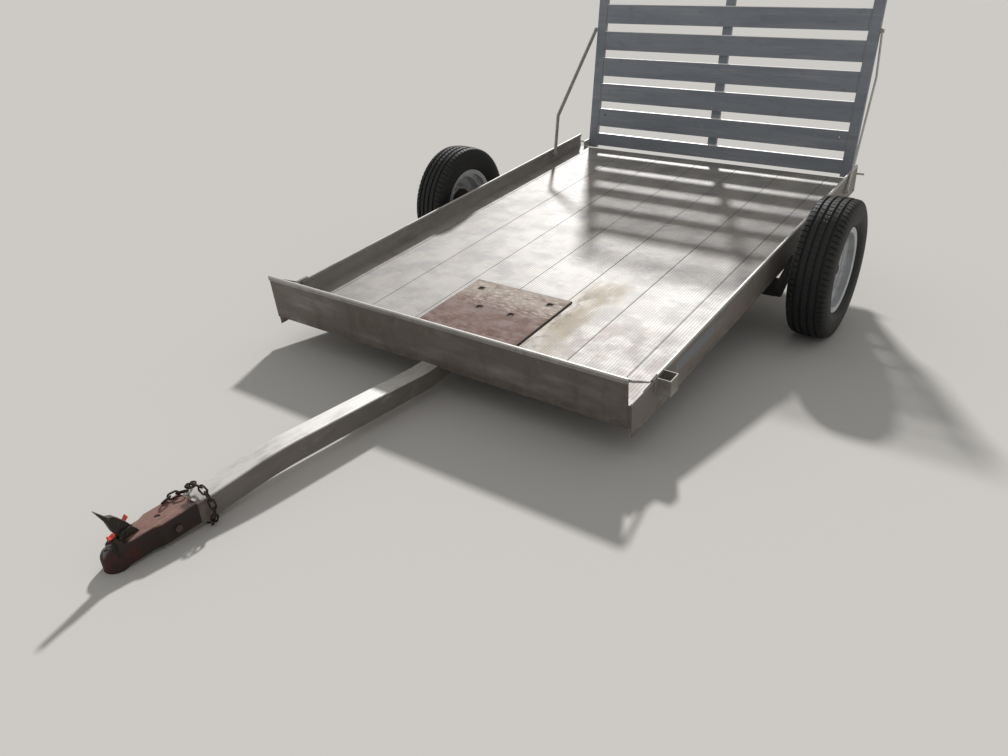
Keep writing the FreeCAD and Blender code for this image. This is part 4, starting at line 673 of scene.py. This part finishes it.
# Hot rolled steel plate: a thin mauve-brown rust in fine crosswise scuffs, paler at its rear and
# darkest round its holes
PLATE_HOLES = ((-168.5, 556.0), (172.5, 556.0), (-74.5, 415.0), (78.5, 415.0))
PLATE = Finish(
    "rusted_hot_rolled_plate", "#86706A", 0.15, 0.75,
    (
        Layer("#745649", size=(70, 60, 70), start=0.40, full=0.62, share=0.7, rough=0.84, seed=91),
        Layer("#96796C", size=(60, 18, 60), start=0.50, full=0.68, share=0.6, seed=92),
        Layer("#9C8F80", size=(90, 60, 90), start=0.24, full=0.54, share=0.8, rough=0.66,
              regions=(Region(Axis.BACK, 490, 640, 50),), seed=93),
        Layer("#B3A898", size=(30, 14, 30), start=0.48, full=0.62, share=0.6, rough=0.6,
              regions=(Region(Axis.BACK, 430, 615, 40),), seed=98),
        Layer("#AB9B8C", size=(50, 7, 50), start=0.58, full=0.70, share=0.5, rough=0.6, seed=94),
        Layer("#503A2E", size=(10, 6, 10), start=0.56, full=0.70, share=0.5, seed=95),
        Layer("#6A4A3A", size=(30, 24, 30), start=0.44, full=0.62, share=0.6, rough=0.85,
              regions=(Region(Axis.BACK, 100, 300, 60),), seed=99),
        Layer("#2E221D", size=(20, 60, 20), start=0.20, full=0.42, share=0.8, rough=0.85,
              regions=(Region(Axis.ACROSS, 233, 245, 1.6),), seed=96),
        # Rust that has run round each hole
        *[Layer("#33241D", size=(9, 9, 9), start=0.30, full=0.52, share=0.85, rough=0.88,
                regions=(Region(Axis.ACROSS, across - 15, across + 15, 5),
                         Region(Axis.BACK, back - 16, back + 14, 5)), seed=across)
          for across, back in PLATE_HOLES],
        Layer(size=(3, 3, 3), start=0.35, full=0.7, relief=0.18, seed=97),
    ),
)

# Brushed black paint over steel, dusty on top
AXLE = Finish(
    "black_painted_steel", "#1A1918", 0.0, 0.55,
    (
        Layer("#5B5144", size=(60, 40, 40), start=0.50, full=0.70, share=0.45, rough=0.85,
              seed=101),
        Layer("#5A3625", size=(18, 14, 14), start=0.62, full=0.70, share=0.7, rough=0.88,
              relief=0.15, seed=102),
    ),
)

# Silver enamel on the rims: chalky, with brake dust and rust that runs out from the hub, and a
# painted highlight round the lip
RIM = Finish(
    "silver_wheel_enamel", "#C2C5C8", 0.3, 0.38,
    (
        Layer("#A6A7A7", size=(40, 70, 70), start=0.44, full=0.66, share=0.5, rough=0.5, seed=111),
        Layer("#7A6C5F", size=(20, 30, 30), start=0.40, full=0.62, share=0.6, rough=0.75, metal=0.0,
              regions=(Region(Axis.RADIUS, -10, 92, 22),), seed=112),
        Layer("#7A4A30", size=(8, 12, 12), start=0.52, full=0.62, share=0.8, rough=0.88, metal=0.0,
              relief=0.2, regions=(Region(Axis.RADIUS, -10, 84, 20),), seed=113),
        Layer("#7A5038", size=(5, 6, 6), start=0.68, full=0.74, share=0.75, rough=0.85, metal=0.0,
              relief=0.15, seed=114),
        Layer("#6A645C", size=(14, 30, 30), start=0.50, full=0.68, share=0.4, rough=0.8, metal=0.0,
              regions=(Region(Axis.RADIUS, 118, 160, 8),), seed=115),
        # Painted highlight: a bright ring on the rim's lip
        Layer("#E0E2E3", grain=Grain.EVEN, share=0.5, rough=0.32,
              regions=(Region(Axis.RADIUS, 174, 190, 2),)),
    ),
)

# Cast hub, studs and nuts: bare iron, rough with brown rust
HUB = Finish(
    "rusted_cast_hub", "#2A2220", 0.2, 0.75,
    (
        Layer("#5C3A29", size=(12, 14, 14), start=0.48, full=0.64, share=0.65, rough=0.9,
              relief=0.25, seed=121),
        Layer("#1B1715", size=(16, 16, 16), start=0.52, full=0.66, share=0.7, seed=122),
    ),
)

# Tyre rubber: charcoal that sun and dust turn grey on the tread and brown on the wall
RUBBER = Finish(
    "moulded_tyre_rubber", "#111214", 0.0, 0.66,
    (
        Layer("#242424", size=(50, 80, 80), start=0.42, full=0.66, share=0.6, rough=0.78, seed=131),
        Layer("#332E28", size=(24, 40, 40), start=0.52, full=0.70, share=0.4, rough=0.88,
              regions=(Region(Axis.RADIUS, 180, 290, 14),), seed=132),
        Layer("#2B2B2C", size=(12, 60, 60), start=0.40, full=0.64, share=0.55, rough=0.85,
              regions=(Region(Axis.RADIUS, 294.5, 320, 1.2),), seed=133),
        Layer(size=(2.2, 2.2, 2.2), start=0.3, full=0.7, relief=0.12, seed=134),
    ),
)

# Welded steel chain: nearly black, with brown rust where the links don't rub
CHAIN = Finish(
    "rusty_proof_chain", "#2A2220", 0.4, 0.6,
    (
        Layer("#4E3125", size=(7, 7, 7), start=0.50, full=0.62, share=0.75, rough=0.88, metal=0.05,
              relief=0.2, seed=141),
        Layer("#171413", size=(11, 11, 11), start=0.56, full=0.66, share=0.7, seed=142),
    ),
)

# The cross bolt's ends: dull steel, greasy, with brown rust on their flats
BOLT = Finish(
    "rusted_hexagon_steel", "#4F4641", 0.4, 0.5,
    (
        Layer("#5F3C2C", size=(7, 7, 7), start=0.46, full=0.60, share=0.7, rough=0.8, metal=0.1,
              relief=0.15, seed=145),
        Layer("#8D8A86", size=(5, 5, 5), start=0.60, full=0.70, share=0.6, rough=0.4, seed=146),
    ),
)

# Aluminium weld bead: close to the tubes in colour, sooty in its ripples
WELD = Finish(
    "aluminium_weld_bead", "#98999A", 0.55, 0.45,
    (Layer("#777573", size=(8, 8, 8), start=0.46, full=0.66, share=0.5, rough=0.6, seed=151),),
)

# Flagging tape: thin fluorescent vinyl, creased and dusty
TAPE = Finish(
    "fluorescent_flagging_tape", "#F04A20", 0.0, 0.42,
    (Layer("#A8391A", size=(6, 6, 6), start=0.50, full=0.66, share=0.5, rough=0.6, relief=0.25,
           seed=161),),
)

# Valve stem: black rubber, dusty
VALVE = Finish(
    "black_valve_rubber", "#191919", 0.0, 0.6,
    (Layer("#4B463F", size=(4, 4, 4), start=0.5, full=0.7, share=0.5, rough=0.8, seed=171),),
)


@dataclass
class Shop:
    """Makes the pieces and keeps the materials, one for each finish on each datum."""

    nodes: dict[str, bpy.types.Object]
    materials: dict[tuple[str, Datum], bpy.types.Material] = field(default_factory=dict)

    def finish(self, finish: Finish, datum: Datum) -> bpy.types.Material:
        """The material of a finish on a datum, built once.

        Args:
            finish: The finish.
            datum: The frame its layers are written in.

        Returns:
            The same material each time.
        """
        key = (finish.name, datum)
        if key not in self.materials:
            self.materials[key] = finish.material(datum)
        return self.materials[key]

    def dress(self, finish: Finish, datum: Datum, *names: str) -> None:
        """Give CAD nodes their finish.

        Args:
            finish: The finish.
            datum: The frame its layers are written in.
            names: Nodes of the frame.
        """
        for name in names:
            mesh = self.nodes[name].data
            mesh.materials.clear()
            mesh.materials.append(self.finish(finish, datum))
        LOG.info("dressed %s in %s", ", ".join(names), finish.name)

    def piece(self, name: str, surface: Surface, datum: Datum, finish: Finish, body: str,
              stands_for: Sequence[str] = ()) -> bpy.types.Object:
        """Make a surface a piece of the object.

        Args:
            name: The piece's name.
            surface: Its points in millimetres, on the datum.
            datum: The frame the points are in.
            finish: Its finish.
            body: The body it moves with.
            stands_for: CAD nodes that it replaces.

        Returns:
            The object, at the origin, with its place in its mesh.
        """
        mesh = bpy.data.meshes.new(name)
        mesh.from_pydata(datum.world(surface.points).tolist(), [], surface.faces.tolist())
        work = bmesh.new()
        work.from_mesh(mesh)
        bmesh.ops.remove_doubles(work, verts=work.verts, dist=MERGE)
        bmesh.ops.recalc_face_normals(work, faces=work.faces)
        work.to_mesh(mesh)
        work.free()
        mesh.shade_smooth()
        mesh.set_sharp_from_angle(angle=math.radians(SHARP_DEG))
        mesh.materials.append(self.finish(finish, datum))
        made = bpy.data.objects.new(name, mesh)
        bpy.context.scene.collection.objects.link(made)
        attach(made, body)
        if stands_for:
            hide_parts(*stands_for)
        LOG.info("made %s with %d faces", name, len(mesh.polygons))
        return made


# Sub-assemblies
@dataclass
class Wheels:
    """Two tyres with moulded tread on dished rims.

    The shoulders' slots begin at slot_start from the middle, within slot_soft, and run down the
    wall to the radius slot_foot, where they fade within slot_fade.
    """

    axis_back: float = 1466.0
    axis_up: float = -43.0
    middle_out: float = 994.0
    radius: float = 299.0
    tread_half: float = 67.0
    crown_drop: float = 6.0
    groove_places: tuple[float, ...] = (15.0, 44.0)
    groove_half: float = 4.2
    groove_slope: float = 1.4
    groove_depth: float = 7.0
    rib_slope: float = 7.0
    pitches: int = 74
    slot_depth: float = 5.5
    slot_skew: float = 0.6
    skew_limit: float = 1.2
    slot_start: float = 50.0
    slot_soft: float = 4.0
    slot_foot: float = 272.0
    slot_fade: float = 14.0
    valve_radius: float = 128.0
    valve_out: float = 6.0
    valve_lean: tuple[float, float] = (0.8, 0.1)

    # Wall of the tyre from the tread's edge to the bead: out from the middle, radius
    WALL = ((67.0, 293.0), (73.0, 288.5), (78.5, 279.0), (83.2, 264.0), (85.4, 247.0),
            (85.6, 234.0), (83.6, 214.0), (76.0, 198.0), (67.0, 187.5), (60.5, 182.6),
            (58.4, 176.0), (57.2, 166.4))
    WALL_COLUMNS = 34
    # Inside of the tyre from bead to crown
    LINER = ((44.0, 165.6), (46.0, 178.0), (66.0, 208.0), (73.0, 240.0), (66.0, 268.0),
             (40.0, 283.0))
    LINER_COLUMNS = 8
    # Columns of points on the middle and outer ribs, and one this far in from the tread's edge
    RIB_COLUMNS = (0.0, 5.0, 58.0, 62.0)
    EDGE_COLUMN = 1.5
    # Power with which the tread falls away from the middle
    CROWN_POWER = 2.6
    # Fine cuts in the ribs between the grooves: low and high end of the rib, share of the depth
    RIB_CUTS = ((22.0, 38.0, 0.35), (-1.0, 9.0, 0.3))
    # Raised rings round the wall: radius, height, width
    WALL_RINGS = ((262.0, 0.8, 2.2), (203.0, 1.0, 2.5))
    # Shares of one tread pitch at which the rows of points stand, and between which the slot lies
    ROWS = (0.0, 0.10, 0.15, 0.27, 0.32, 0.66)
    SLOT = (0.12, 0.30)
    # Valve stem and cap: distance along the stem, radius
    STEM = ((0, 7), (4, 6.4), (8, 4.4), (24, 3.8), (26, 3.8), (26.5, 4.6), (36, 4.6), (38, 3.4))

    def half_profile(self) -> tuple[np.ndarray, int]:
        """Columns of points of one half, from the crown out, down the wall and back inside.

        Returns:
            Distance out and radius of each column, and how many of them are tread.
        """
        edges = [*self.RIB_COLUMNS, self.tread_half - self.EDGE_COLUMN]
        for middle in self.groove_places:
            low, high = middle - self.groove_half, middle + self.groove_half
            edges += [low - self.groove_slope, low, middle, high, high + self.groove_slope,
                      high + self.rib_slope]
        tread = np.array(sorted(edges))
        drop = self.crown_drop * (tread / self.tread_half) ** self.CROWN_POWER
        crown = np.stack([tread, self.radius - drop], 1)
        wall = smooth_line(np.array(self.WALL), self.WALL_COLUMNS)
        liner = smooth_line(np.array(self.LINER), self.LINER_COLUMNS)
        return np.vstack([crown, wall, liner]), len(tread)

    def tread(self, half: np.ndarray, treads: int) -> tuple[np.ndarray, np.ndarray, np.ndarray]:
        """Grooves, slots and wall rings of one half.

        A groove is full depth within its half width. A slot is full depth on the outer rib and
        fades out down the wall, and shallower on the ribs between the grooves. A ring stands out
        by its height times a bell curve of the distance from its radius.

        Args:
            half: Distance out and radius of each column.
            treads: How many columns are tread.

        Returns:
            Depth of the grooves, share of the slots' depth, and how far the rings stand out.
        """
        out, radius = half.T
        on_tread = np.arange(len(half)) < treads
        outside = np.arange(len(half)) < len(half) - self.LINER_COLUMNS
        gap = np.min([np.abs(out - middle) for middle in self.groove_places], axis=0)
        groove = np.clip((self.groove_half + self.groove_slope - gap) / self.groove_slope, 0, 1)
        shoulder = (np.clip((out - self.slot_start) / self.slot_soft, 0, 1)
                    * np.clip((radius - self.slot_foot) / self.slot_fade, 0, 1))
        ribs = sum(share * ((out > low) & (out < high)) for low, high, share in self.RIB_CUTS)
        cut = np.maximum(shoulder, ribs * on_tread)
        ring = sum(height * np.exp(-((radius - place) / width) ** 2)
                   for place, height, width in self.WALL_RINGS)
        return groove * self.groove_depth * on_tread, cut * outside, ring * (outside & ~on_tread)

    def tyre(self) -> Surface:
        """Tyre about X, with four grooves round it and slanted slots across its shoulders.

        The point of column c at angle a lies at radius r(c) - groove(c) - slot(c, a), where
        slot is the column's share of the full depth on a fifth of each tread pitch. The angle
        is skewed with the distance from the middle, so that the slots slant.

        Returns:
            The tyre's skin, inside and outside.
        """
        half, treads = self.half_profile()
        groove, cut, ring = self.tread(half, treads)
        out, radius = half.T
        columns = (out + ring, radius - groove, cut)
        across, level, cut = (np.concatenate([v[::-1], v[1:]]) for v in columns)
        across = across * np.concatenate([-np.ones(len(half)), np.ones(len(half) - 1)])
        share = np.array(self.ROWS)
        pitch = np.arange(self.pitches)[:, None] + share[None, :]
        angle = (pitch / self.pitches * 2 * np.pi).ravel()
        in_slot = np.tile((share > self.SLOT[0]) & (share < self.SLOT[1]), self.pitches)
        slant = np.clip(across / self.tread_half, -self.skew_limit, self.skew_limit)
        turned = angle[:, None] + self.slot_skew * 2 * np.pi / self.pitches * slant[None, :]
        reach = level[None, :] - self.slot_depth * cut[None, :] * in_slot[:, None]
        across = np.broadcast_to(across, reach.shape)
        points = np.stack([across, reach * np.cos(turned), reach * np.sin(turned)], -1)
        return grid(points, loop_rows=True, loop_columns=True)

    def valve(self, side: float) -> Surface:
        """Rubber valve stem on the rim's outer face, with its cap: a bar that leans outwards.

        Args:
            side: -1 on the left wheel and 1 on the right one.

        Returns:
            The stem's skin.
        """
        lengths, radii = np.array(self.STEM, float).T
        out, off = self.valve_lean
        path = np.stack([side * lengths * out, off * lengths - self.valve_radius, 0 * lengths], 1)
        return swept(path, radii, (0, 0, 1), sides=12).moved((side * self.valve_out, 0, 0))

    def build(self, shop: Shop, trailer: Datum) -> None:
        """Make both wheels' pieces and dress their CAD nodes.

        Args:
            shop: Makes the pieces.
            trailer: The trailer's frame.
        """
        for name, side in (("left", -1.0), ("right", 1.0)):
            hub = trailer.at(side * self.middle_out, self.axis_back, self.axis_up)
            body = "wheel_" + name
            shop.piece("moulded_tyre_" + name, self.tyre(), hub, RUBBER, body,
                       ["tyre_" + name])
            shop.piece("valve_stem_" + name, self.valve(side), hub, VALVE, body)
            shop.dress(RIM, hub, "wheel_rim_" + name)
            shop.dress(HUB, hub, "hub_" + name)


@dataclass
class Bed:
    """Deck planks, front board, rails and what is fixed to them."""

    width: float = 1656.0
    bead: float = 3.0
    ripple: float = 3.2
    ripple_height: float = 0.16
    bead_end: float = 0.4
    pocket_edges: tuple[float, float] = (168.0, 228.0)
    pocket_span: tuple[float, float] = (16.0, 72.0)
    corner_place: tuple[float, float] = (820.0, 3.5)
    corner_span: tuple[float, float] = (-23.0, 64.0)
    corner_bead: float = 4.8

    # Rings of points on a bead: in each ripple, and the fewest on a short bead
    RIPPLE_RINGS = 4
    FEWEST_RINGS = 6

    def weld(self, place: Sequence[float], span: Sequence[float],
             bead: float | None = None) -> Surface:
        """Upright fillet bead: a bar whose radius swells and falls once each ripple.

        The radius at share s of the length is bead (1 + h cos(2 pi s length / ripple)), and it
        narrows to the share bead_end of that at both ends.

        Args:
            place: Where the bead stands, across and back.
            span: Heights of its two ends.
            bead: Its radius, where it isn't the usual one.

        Returns:
            The bead's skin.
        """
        bead = self.bead if bead is None else bead
        start, end = (np.array((*place, height), float) for height in span)
        length = float(np.linalg.norm(end - start))
        rings = max(self.FEWEST_RINGS, int(length / self.ripple * self.RIPPLE_RINGS))
        share = np.linspace(0, 1, rings)
        radius = bead * (1 + self.ripple_height * np.cos(share * length / self.ripple * 2 * np.pi))
        radius *= np.clip(np.minimum(share, 1 - share) * length / bead + self.bead_end, 0, 1)
        return swept(start + share[:, None] * (end - start), radius, (1, 0, 0), sides=8)

    def pocket_welds(self) -> Surface:
        """Beads up the front and the back of the stake pocket, where it meets the rail."""
        return Surface.joined([self.weld((self.width / 2, back), self.pocket_span)
                               for back in self.pocket_edges])

    def corner_weld(self) -> Surface:
        """Filling bead between the front board's right end and the rail's front edge."""
        return self.weld(self.corner_place, self.corner_span, self.corner_bead)

    def build(self, shop: Shop, trailer: Datum) -> None:
        """Dress the bed and add its welds.

        Args:
            shop: Makes the pieces.
            trailer: The trailer's frame.
        """
        shop.dress(DECK, trailer, *["deck_plank_%d" % i for i in range(1, 9)])
        shop.dress(BOARD, trailer, "front_board")
        shop.dress(RAIL, trailer, "side_rail_left", "side_rail_right")
        shop.dress(FRAME, trailer, "rear_sill", "cross_members", "corner_ties",
                   "stake_pocket_right")
        shop.dress(PLATE, trailer, "steel_plate")
        # The corner bead takes the board's finish, whose film is partly painted shade
        shop.piece("corner_weld_bead", self.corner_weld(), trailer, BOARD, "frame")
        shop.piece("pocket_weld_beads", self.pocket_welds(), trailer, WELD, "frame")
        shop.dress(AXLE, trailer, "axle_tube", "axle_pads", "torsion_arm_left", "torsion_arm_right")


@dataclass
class Hitch:
    """Tongue, coupler with its raised latch, safety chain and scraps of tape."""

    tip_back: float = -1127.35
    tip_up: float = 99.08
    tip_rise: float = 4.0
    wire: float = 2.9
    link_count: int = 19
    spring_radius: float = 6.2
    spring_wire: float = 1.0
    spring_length: float = 14.0
    spring_turns: float = 4.5
    latch_pin: tuple[float, float] = (-80.0, 17.2)
    coupler_half: float = 43.2
    bolt_place: tuple[float, float] = (39.0, -32.0)
    bolt_flats: float = 19.4
    bolt_height: float = 8.1
    tape_width: float = 20.0
    tape_knot: float = 0.4
    tape_thickness: float = 0.02
    tape_wave: float = 1.3
    tape_waves: float = 2.5

    # Where each scrap of tape goes from its knot at the latch pin's left end
    SCRAPS = (((-15.6, -80, 17.2), (-17, -74, 24), (-19, -66, 31), (-21, -58, 38), (-20, -52, 44)),
              ((-15.6, -80, 17.2), (-18, -88, 14), (-21, -97, 10), (-23, -106, 6), (-26, -114, 3)))
    # Direction of the scraps' waves, and points along a scrap, along the line that gives its
    # length, along the spring and round the half circle of a link
    WAVE_WAY = (0.2, 0.5, 0.84)
    SCRAP_POINTS = 30
    LENGTH_POINTS = 60
    SPRING_POINTS = 110
    BEND_POINTS = 9

    def links(self, node: bpy.types.Object) -> Surface:
        """Round wire links in the places of the CAD chain's links.

        Each solid link's points give its middle and, by their spread, the directions of its
        length, width and thickness. A round link is a bar along a stadium curve: two straights
        joined by half circles.

        Args:
            node: The CAD chain, whose links follow one another in its mesh.

        Returns:
            All the links, in the scene's directions.
        """
        flat = np.empty(len(node.data.vertices) * 3)
        node.data.vertices.foreach_get("co", flat)
        each = flat.reshape(self.link_count, -1, 3) / MM
        low, high = each.min(1), each.max(1)
        middles = (low + high) / 2
        spread = each - each.mean(1, keepdims=True)
        axes = np.linalg.svd(spread, full_matrices=False)[2]
        sizes = np.abs(np.einsum("lpc,lac->lpa", each - middles[:, None], axes)).max(1)
        parts = []
        for middle, frame, (half_length, half_width, _) in zip(middles, axes, sizes):
            bend = half_width - self.wire
            straight = half_length - self.wire - bend
            parts.append(self.stadium(straight, bend).moved(middle, frame))
        return Surface.joined(parts)

    def stadium(self, straight: float, bend: float) -> Surface:
        """Link with its length along the first axis and its width along the second.

        Args:
            straight: Half the length of its straights.
            bend: Radius of its half circles.

        Returns:
            The link's skin.
        """
        turn = np.linspace(-np.pi / 2, np.pi / 2, self.BEND_POINTS)
        head = np.stack([straight + bend * np.cos(turn), bend * np.sin(turn), 0 * turn], 1)
        return swept(np.vstack([head, -head]), self.wire, (0, 0, 1), sides=10, closed=True)

    def spring(self) -> Surface:
        """Coil on the latch pin: a bar along a helix about X.

        Returns:
            The coil's skin, about the pin's middle.
        """
        turn = np.linspace(0, self.spring_turns * 2 * np.pi, self.SPRING_POINTS)
        across = -self.spring_length / 2 + self.spring_length * turn / turn[-1]
        path = np.stack([across, self.spring_radius * np.cos(turn),
                         self.spring_radius * np.sin(turn)], 1)
        return swept(path, self.spring_wire, (1, 0, 0), sides=8)

    def bolt_ends(self) -> Surface:
        """Hexagonal head and nut of the cross bolt.

        Returns:
            Both, one on each side of the coupler.
        """
        end = hexagon_nut(self.bolt_flats, self.bolt_height)
        starts = (self.coupler_half, -self.coupler_half - self.bolt_height)
        return Surface.joined([end.moved((start, *self.bolt_place)) for start in starts])

    def scrap(self, places: Sequence[Sequence[float]]) -> Surface:
        """Creased strip of tape that is gathered at its knot.

        Half its width at share s of its length is w (k + (1 - k) sqrt(s)), where k is its share
        at the knot, and its middle line is moved by a wave that grows with s.

        Args:
            places: Points that its middle line goes through, from the knot out.

        Returns:
            The strip's skin, both sides.
        """
        share = np.linspace(0, 1, self.SCRAP_POINTS)
        wave = self.tape_wave * share * np.sin(share * self.tape_waves * 2 * np.pi)
        path = smooth_line(np.array(places), len(share)) + wave[:, None] * np.array(self.WAVE_WAY)
        half = self.tape_width / 2 * (self.tape_knot + (1 - self.tape_knot) * np.sqrt(share))
        return swept(path, half, (1, 0, 0), sides=12, flatten=self.tape_thickness)

    def build(self, shop: Shop, trailer: Datum) -> None:
        """Make the hitch's pieces and dress its CAD nodes.

        Args:
            shop: Makes the pieces.
            trailer: The trailer's frame.
        """
        tip = trailer.at(0, self.tip_back, self.tip_up, -self.tip_rise)
        shop.dress(TONGUE, trailer, "tongue")
        shop.dress(COUPLER, tip, "coupler_body")
        shop.dress(LATCH, tip, "latch_bracket", "latch_lever", "coupler_bolt")
        shop.piece("hexagonal_bolt_ends", self.bolt_ends(), tip, BOLT, "frame")
        shop.piece("latch_spring", self.spring().moved((0, *self.latch_pin)), tip, LATCH, "frame")
        for place, path in zip(("rear", "front"), self.SCRAPS):
            tape = shop.piece("tape_scrap_" + place, self.scrap(path), tip, TAPE, "frame")
        world = Datum((0.0, 0.0, 0.0), 0.0)
        shop.piece("round_chain_links", self.links(shop.nodes["safety_chain"]), world, CHAIN,
                   "frame", ["safety_chain"])


@dataclass
class Gate:
    """Slatted ramp gate, its hinges and its stays."""

    pivot_back: float = 2537.0
    pivot_up: float = 15.0
    lean: float = 11.12
    half: float = 789.0
    post_width: float = 53.0
    post_depth: float = 25.0
    slat_pitch: float = SLAT_PITCH
    slat_height: float = 102.0
    first_top: float = FIRST_SLAT_TOP
    first_height: float = 72.0
    last_height: float = 58.0
    height: float = 930.0
    slats: int = 7
    weld_gap: float = 4.0
    nut_place: float = 802.0
    nut_flats: float = 22.4
    nut_height: float = 8.2

    def slat_spans(self) -> list[tuple[float, float]]:
        """Bottom and top of each slat along the gate.

        Returns:
            The spans from the lowest slat up.
        """
        tops = [self.first_top + i * self.slat_pitch for i in range(self.slats - 1)] + [self.height]
        middle = [self.slat_height] * (self.slats - 2)
        heights = [self.first_height, *middle, self.last_height]
        return [(top - height, top) for top, height in zip(tops, heights)]

    def welds(self, bed: Bed) -> Surface:
        """Beads down both ends of each slat, front and back.

        Args:
            bed: Bed whose kind of bead they are.

        Returns:
            All the beads, on the gate's frame.
        """
        edge, depth = self.half - self.post_width, self.post_depth / 2
        corners = [(side * edge, face * depth) for side in (-1, 1) for face in (-1, 1)]
        return Surface.joined([bed.weld(corner, (low + self.weld_gap, high - self.weld_gap))
                               for low, high in self.slat_spans() for corner in corners])

    def hinge_nuts(self) -> Surface:
        """Hexagonal nut on the outer end of each hinge pin.

        Returns:
            Both nuts, each against its bracket, on the trailer's frame.
        """
        nut = hexagon_nut(self.nut_flats, self.nut_height)
        starts = (self.nut_place, -self.nut_place - self.nut_height)
        return Surface.joined([nut.moved((start, self.pivot_back, self.pivot_up))
                               for start in starts])

    def build(self, shop: Shop, trailer: Datum, bed: Bed) -> None:
        """Make the gate's pieces and dress its CAD nodes.

        Args:
            shop: Makes the pieces.
            trailer: The trailer's frame.
            bed: Bed whose kind of weld bead the gate has.
        """
        gate = trailer.at(0, self.pivot_back, self.pivot_up, -self.lean)
        shop.dress(GATE, gate, "gate_post_left", "gate_post_right", "gate_slats", "gate_upright")
        shop.dress(ZINC, trailer, "hinge_bracket_left", "hinge_bracket_right", "hinge_pins",
                   "stay_left", "stay_right", "stay_pins", "stay_top_pin_left",
                   "stay_top_pin_right")
        shop.piece("gate_weld_beads", self.welds(bed), gate, WELD, "gate")
        shop.piece("hexagonal_hinge_nuts", self.hinge_nuts(), trailer, ZINC, "frame")


# Studio
@dataclass
class Studio:
    """Plain pale floor, a soft lamp from the rear left and the camera at the photograph's place."""

    floor_colour: str = "#D6D3CE"
    floor_half: float = 60.0
    sky_strength: float = 0.37
    lamp_strength: float = 3.05
    lamp_height_deg: float = 33.5
    lamp_way_deg: float = 28.0
    lamp_softness_deg: float = 3.5
    lamp_place: tuple[float, float, float] = (-3.0, 3.4, 4.1)
    sensor: float = 36.0
    lens: float = 28.601058
    camera_place: tuple[float, float, float] = (1.77154, -2.67605, 1.34454)
    camera_turn: tuple[float, float, float] = (64.3443, -0.378, 35.4968)

    def level(self) -> float:
        """Light that falls on level ground, as a share of what shows a colour as written."""
        slope = math.sin(math.radians(self.lamp_height_deg))
        return self.sky_strength + self.lamp_strength * slope / math.pi

    def floor(self) -> None:
        """Level square far larger than the view, with a pale matte finish."""
        side = np.linspace(-self.floor_half, self.floor_half, 3)
        x, y = np.meshgrid(side, side, indexing="ij")
        surface = grid(np.stack([x, y, 0 * x], -1))
        mesh = bpy.data.meshes.new("studio_floor")
        mesh.from_pydata(surface.points.tolist(), [], surface.faces.tolist())
        made = bpy.data.materials.new("matte_floor_paper")
        made.use_nodes = True
        shader = made.node_tree.nodes["Principled BSDF"]
        shader.inputs["Base Color"].default_value = linear(self.floor_colour)
        shader.inputs["Roughness"].default_value = 1.0
        shader.inputs["Specular IOR Level"].default_value = 0.0
        mesh.materials.append(made)
        floor = bpy.data.objects.new("studio_floor", mesh)
        bpy.context.scene.collection.objects.link(floor)

    def sky(self) -> None:
        """Even light from all round; the camera and reflections see it as pale as the lit floor."""
        world = bpy.data.worlds.new("studio_light")
        bpy.context.scene.world = world
        world.use_nodes = True
        tree = world.node_tree
        tree.nodes.clear()
        path = add_node(tree, "ShaderNodeLightPath")
        seen = path.outputs["Is Camera Ray"]
        for ray in ("Is Glossy Ray", "Is Transmission Ray"):
            seen = add_node(tree, "ShaderNodeMath", {0: seen, 1: path.outputs[ray]},
                            operation="MAXIMUM").outputs[0]
        pale = [value * self.level() for value in linear(self.floor_colour)[:3]]
        colour = add_node(tree, "ShaderNodeMix",
                          {0: seen, 6: (*[self.sky_strength] * 3, 1.0), 7: (*pale, 1.0)},
                          data_type="RGBA")
        light = add_node(tree, "ShaderNodeBackground",
                         {"Color": colour.outputs[2], "Strength": 1.0})
        add_node(tree, "ShaderNodeOutputWorld", {"Surface": light.outputs[0]})

    def lamp(self) -> None:
        """Broad lamp far off, whose light comes from the rear left and from above."""
        light = bpy.data.lights.new("soft_lamp", "SUN")
        light.energy = self.lamp_strength
        light.angle = math.radians(self.lamp_softness_deg)
        made = bpy.data.objects.new("soft_lamp", light)
        made.location = self.lamp_place
        turn = (self.lamp_height_deg - 90, 0, self.lamp_way_deg)
        made.rotation_euler = Euler([math.radians(v) for v in turn])
        bpy.context.scene.collection.objects.link(made)

    def camera(self) -> None:
        """Camera where the photograph was taken from."""
        data = bpy.data.cameras.new("photo_camera")
        data.sensor_width = self.sensor
        data.lens = self.lens
        made = bpy.data.objects.new("photo_camera", data)
        made.location = self.camera_place
        made.rotation_euler = Euler([math.radians(v) for v in self.camera_turn], "XYZ")
        bpy.context.scene.collection.objects.link(made)
        bpy.context.scene.camera = made

    def build(self) -> None:
        """Set the whole studio up."""
        self.floor()
        self.sky()
        self.lamp()
        self.camera()
        bpy.context.scene.view_settings.view_transform = "Standard"
        LOG.info("studio set up")


def main() -> None:
    """Build the trailer's looks round its frame."""
    logging.basicConfig(level=logging.INFO, format="%(name)s: %(message)s")
    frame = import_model()
    trailer = Datum.of_trailer(frame["joints"])
    LOG.info("trailer at %s, pitched %.3f degrees", trailer.origin, math.degrees(trailer.turn))
    shop = Shop(frame["nodes"])
    bed = Bed()
    bed.build(shop, trailer)
    Hitch().build(shop, trailer)
    Wheels().build(shop, trailer)
    Gate().build(shop, trailer, bed)
    Studio().build()


if __name__ == "__main__":
    main()
